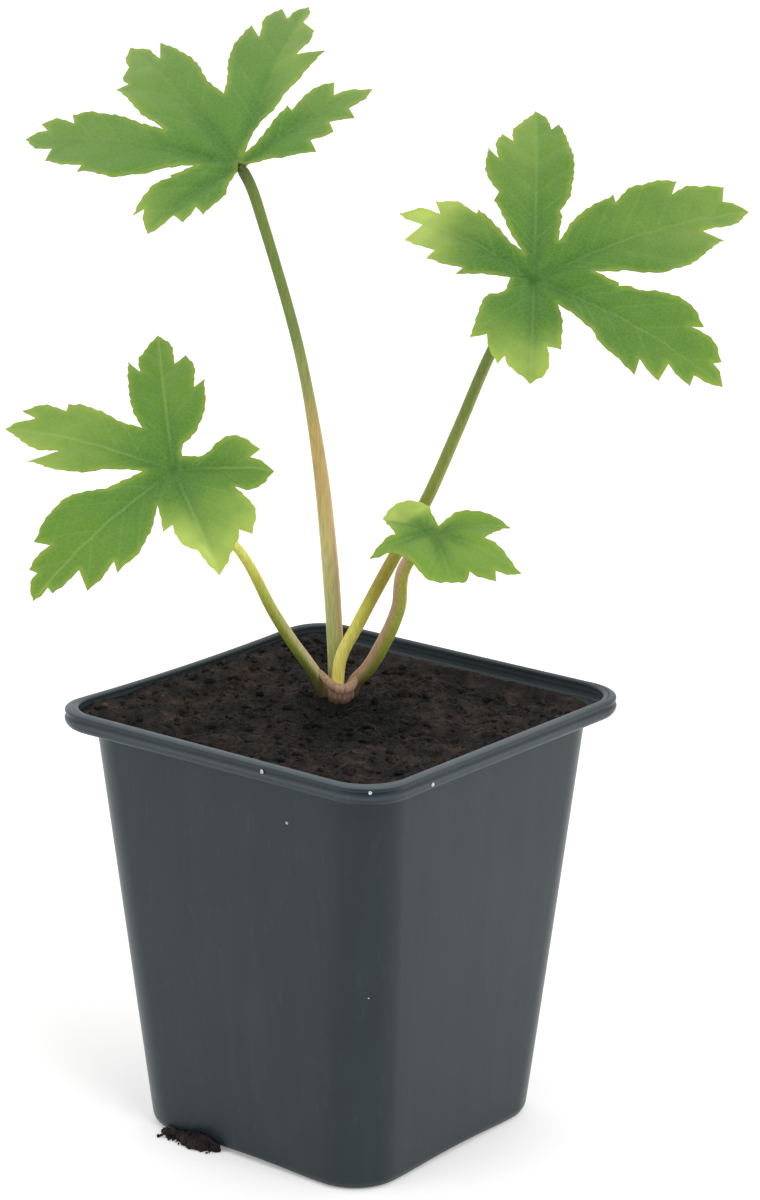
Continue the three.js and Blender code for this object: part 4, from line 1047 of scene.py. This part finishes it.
def blade_spot(leaf, lobe, spot, gaps, seams):
    """The top and the underside of a blade at one spot, and the numbers that its material reads"""
    along, across = spot
    rib_gap, vein_gap, border = gaps
    longest = max(lobe["length"] for lobe in leaf["lobes"])
    own = lift = blade_lift(leaf, lobe, along, across)
    seam_gap = FAR
    for neighbour, gap in seams:
        # Neighbouring lobes run together over the last few millimetres before their seam
        seen = turned(along, across, lobe["aim"] - neighbour["aim"])
        lift += 0.5 * (blade_lift(leaf, neighbour, *seen) - own) * (1 - smoothstep(gap, 0, SEAM_BLEND))
        seam_gap = min(seam_gap, gap)
    radius = math.hypot(along, across)
    away = smoothstep(radius, 0.2, 1.5)
    taper = 1 - 0.75 * min(1, radius / lobe["length"])
    reach = radius / longest
    vein_gap += 3 * (1 - smoothstep(seam_gap, 0, 1.5))
    x, y = turned(along, across, lobe["aim"])
    rib = bell(rib_gap, RIB_WIDTH) * taper
    trough = bell(rib_gap, TROUGH_WIDTH) * (1 - smoothstep(reach, 0.1, 0.7))
    vein = bell(vein_gap, VEIN_WIDTH) * (0.4 + 0.6 * taper)
    quilt = bell(vein_gap, QUILT_WIDTH)
    wave = noise.noise(Vector((x / 4, y / 4, longest))) * bell(border, WAVE_WIDTH)
    uneven = 0.5 + 0.5 * noise.noise(Vector((x / 8, y / 8, -longest)))
    relief = (RIB_DEPTH * rib + TROUGH_DEPTH * trough + VEIN_DEPTH * vein + QUILT_DEPTH * quilt
              + WAVE_DEPTH * wave + UNEVEN_DEPTH * uneven)
    thick = (lerp(MARGIN_THICKNESS, THICKNESS, smoothstep(border, 0, 4)) + RIB_UNDERNEATH * rib
             + VEIN_UNDERNEATH * vein + HUB_THICKNESS * (1 - smoothstep(radius, 0.3, 2.6)))
    top = lift - relief * away
    # Painted highlight: one half of some lobes is painted paler, as the light falls on it
    pale = lerp(*lobe["pale"], smoothstep(across, -0.8, 0.8)) * smoothstep(seam_gap, 0, SEAM_BLEND)
    return Vector((x, y, top)), Vector((x, y, top - thick)), (rib_gap, vein_gap, border, reach, pale)


def build_leaf(name, leaf):
    """One leaf as a closed skin: the net of each lobe on top and underneath, and a wall round it"""
    shared, tops, lows, faces = {}, [], [], []
    fields = {"rib_gap": [], "vein_gap": [], "margin_gap": [], "reach": [], "pale": []}
    for number, lobe in enumerate(leaf["lobes"]):
        spots, keys, net_faces, gaps, seam_gaps = lobe_net(leaf, number)
        for i, key in enumerate(keys):
            if key not in shared:
                shared[key] = len(tops)
                seams = [(neighbour, seam_gap[i]) for neighbour, seam_gap in seam_gaps]
                top, low, values = blade_spot(leaf, lobe, spots[i], gaps[i], seams)
                tops.append(top)
                lows.append(low)
                for field, value in zip(fields, values):
                    fields[field].append(value)
        for face in net_faces:
            a, b, c = (shared[keys[i]] for i in face)
            (ax, ay), (bx, by), (cx, cy) = (spots[i] for i in face)
            if len({a, b, c}) == 3:
                faces.append((a, b, c) if (bx - ax) * (cy - ay) > (by - ay) * (cx - ax) else (a, c, b))
    # The free edges of the top are those that no second face runs back along
    loose = {}
    for face in faces:
        for pair in zip(face, face[1:] + face[:1]):
            if loose.pop(pair[::-1], None) is None:
                loose[pair] = True
    count = len(tops)
    under = [[count + i for i in reversed(face)] for face in faces]
    walls = [(b, a, count + a, count + b) for a, b in loose]
    fields = {field: values * 2 for field, values in fields.items()}
    place = leaf_place(leaf)
    low, high = (Vector(corner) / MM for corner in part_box("leaf_" + name))
    points = []
    for point in tops + lows:
        here = place @ point
        points.append([min(max(value, bottom), top) for value, bottom, top in zip(here, low, high)])
    return points, faces + walls + under, len(under), fields


def leaf_place(leaf):
    """Where a leaf sits: its middle, turned about the vertical and tilted forwards"""
    turn = Matrix.Rotation(math.radians(leaf["turn"]), 4, "Z")
    tilt = Matrix.Rotation(math.radians(leaf["tilt"]), 4, "X")
    return Matrix.Translation(leaf["middle"]) @ turn @ tilt


def leaf_surface(name, greens, trough, bright_rib, hub, roughness):
    """Living leaf under a thin waxy skin: deep green by the stalk and yellower to the tips, painted shade
    in the troughs along the ribs, a pale thread on the outer ribs, a faint net of veins, a soft
    yellow-green margin where the tissue thins, a painted highlight over whole halves of some lobes
    towards their tips, and a satin gloss. The net is drawn a little coarser than it is, so that it shows"""
    material, tree, shader = new_material(name)
    net_size, mottle, margin_width, trough_width = 1.1, 9, 1.6, 3
    place = add_node(tree, "TexCoord").outputs["Object"]
    field = {key: add_node(tree, "Attribute", attribute_name=key).outputs["Fac"]
             for key in ("rib_gap", "vein_gap", "margin_gap", "reach", "pale")}
    patches = add_node(tree, "TexNoise", {"Vector": place, "Scale": 1000 / mottle, "Detail": 5})
    drift = add_node(tree, "Math", {0: patches, 1: 0.8, 2: -0.4}, operation="MULTIPLY_ADD")
    spot = add_node(tree, "Math", {0: field["reach"], 1: drift}, operation="ADD")
    colour = add_node(tree, "ValToRGB", {0: spot}, [(0.05, greens[0]), (0.95, greens[2]), (0.45, greens[1])])
    cells = add_node(tree, "TexVoronoi", {"Vector": place, "Scale": 1000 / net_size},
                     feature="DISTANCE_TO_EDGE")
    # Each mask runs from its inner to its outer value as a field goes from low to high
    masks = {}
    for mask, key, low, high, inner, outer in (
            ("tip", "reach", 0.18, 0.64, 0, 1), ("middle", "reach", 0.1, 0.6, 1, 0),
            ("beyond_hub", "reach", 0.08, 0.3, 0.4, 1), ("hub", "reach", 0.012, 0.04, 1, 0),
            # The trough mask is painted shade along the ribs, near the hub
            ("trough", "rib_gap", 0.2, trough_width, trough, 0),
            ("rib", "rib_gap", 0.2 * RIB_WIDTH, RIB_WIDTH, bright_rib, 0),
            ("vein", "vein_gap", 0.2 * VEIN_WIDTH, VEIN_WIDTH, 0.1, 0),
            ("margin", "margin_gap", 0.1, margin_width, 0.6, 0)):
        masks[mask] = add_node(tree, "MapRange", {
            "Value": field[key], "From Min": low, "From Max": high, "To Min": inner, "To Max": outer},
            interpolation_type="SMOOTHSTEP")
    masks["veinlets"] = add_node(tree, "MapRange", {"Value": cells, "From Max": 0.12, "To Min": 0.12,
                                                    "To Max": 0})
    # Each tint is laid over the ones before it, as strong as its mask and the factors behind it
    # Among the tints, the pale one towards the tips is a painted highlight and the trough one is painted
    # shade
    for code, mask, *factors in (
            ("#b4c863", "tip", field["pale"], patches, 2), ("#406b2f", "trough", masks["middle"]),
            ("#9ab868", "veinlets"), ("#8fb062", "vein"), ("#a6bf70", "rib", masks["beyond_hub"]),
            ("#a3b23c", "margin", patches), (hub, "hub")):
        strength = masks[mask]
        for factor in factors:
            strength = add_node(tree, "Math", {0: strength, 1: factor}, operation="MULTIPLY", use_clamp=True)
        colour = add_node(tree, "MixRGB", {0: strength, 1: colour, 2: hex_colour(code)})
    grain = add_node(tree, "Math", {0: cells, 1: patches}, operation="ADD")
    bump = add_node(tree, "Bump", {"Strength": 0.3, "Distance": 0.00015, "Height": grain})
    feed(tree, shader, {"Base Color": colour, "Roughness": roughness, "Normal": bump, "IOR": 1.42,
                        "Specular IOR Level": 0.35, "Subsurface Weight": 0.1,
                        "Subsurface Scale": 0.0006, "Subsurface Radius": (0.7, 1, 0.3)})
    return material


for name, leaf in LEAVES.items():
    points, faces, under_count, fields = build_leaf(name, leaf)
    top_skin = leaf_surface("waxy_leaf_top_" + name, leaf["greens"], leaf["trough"], leaf["bright_rib"],
                            leaf["hub"], roughness=0.5)
    under_skin = leaf_surface("matt_leaf_underside_" + name, UNDERSIDE_GREENS, trough=0, bright_rib=0.7,
                              hub=UNDERSIDE_HUB, roughness=0.62)
    piece = new_piece("leaf_blade_" + name, points, faces, top_skin, **fields)
    piece.data.materials.append(under_skin)
    for face in piece.data.polygons[len(faces) - under_count:]:
        face.material_index = 1
    piece.data.set_sharp_from_angle(angle=math.radians(50))
    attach(piece, "root")
    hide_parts("leaf_" + name)

# STUDIO
# A white paper floor in a white photo tent: its walls, back and top glow, and the side towards the
# camera is dim, so the pot's front corner and the middle of each stalk are darker than their sides.
FLOOR_REACH = 6000
# A broad soft lamp from the front right and a weaker one from the front left light the near sides
LAMPS = (("key", 1.3, 40, (-0.8, 0.15, -0.55)), ("fill", 0.8, 60, (0.2, 0.9, -0.35)))
# The camera stands where the pot's edges have the places that they have in the photo
CAMERA_PLACE = Vector((471.55, -582.11, 330.69)) * MM
CAMERA_AIM = Vector((-0.61, 13.4, 114.99)) * MM
CAMERA_ROLL, CAMERA_LENS = 0.475, 109.74
paper, paper_tree, paper_shader = new_material("pale_studio_paper")
feed(paper_tree, paper_shader, {"Base Color": hex_colour("#fafaf9"), "Roughness": 0.9,
                                "Emission Color": hex_colour("#ffffff"), "Emission Strength": 0.22})
corners = [(x * FLOOR_REACH, y * FLOOR_REACH, -0.05) for x, y in ((-1, -1), (1, -1), (1, 1), (-1, 1))]
floor = new_piece("studio_floor", corners, [(0, 1, 2, 3)], paper)

world = bpy.data.worlds.new("white_tent")
world.use_nodes = True
tent = world.node_tree
direction = add_node(tent, "TexCoord").outputs["Generated"]
facing = add_node(tent, "VectorMath", {0: direction, 1: (0.62, -0.77, 0.15)}, operation="DOT_PRODUCT")
glow = add_node(tent, "MapRange", {"Value": facing.outputs["Value"], "From Min": 0.5, "From Max": 0.92,
                                   "To Min": 0.95, "To Max": 0.05}, interpolation_type="SMOOTHSTEP")
feed(tent, tent.nodes["Background"], {"Strength": glow, "Color": hex_colour("#ffffff")})
bpy.context.scene.world = world

for name, energy, spread, heading in LAMPS:
    lamp = bpy.data.lights.new(name, "SUN")
    lamp.energy = energy
    lamp.angle = math.radians(spread)
    placed = bpy.data.objects.new(name, lamp)
    placed.rotation_mode = "QUATERNION"
    placed.rotation_quaternion = Vector(heading).to_track_quat("-Z", "Y")
    placed.visible_glossy = False
    bpy.context.scene.collection.objects.link(placed)

lens = bpy.data.cameras.new("camera")
lens.lens = CAMERA_LENS
lens.sensor_width = 36
lens.clip_start = 0.05
camera = bpy.data.objects.new("camera", lens)
camera.location = CAMERA_PLACE
camera.rotation_mode = "QUATERNION"
roll = Quaternion((0, 0, 1), math.radians(CAMERA_ROLL))
camera.rotation_quaternion = (CAMERA_AIM - CAMERA_PLACE).to_track_quat("-Z", "Y") @ roll
bpy.context.scene.collection.objects.link(camera)
bpy.context.scene.camera = camera
bpy.context.scene.view_settings.view_transform = "Standard"
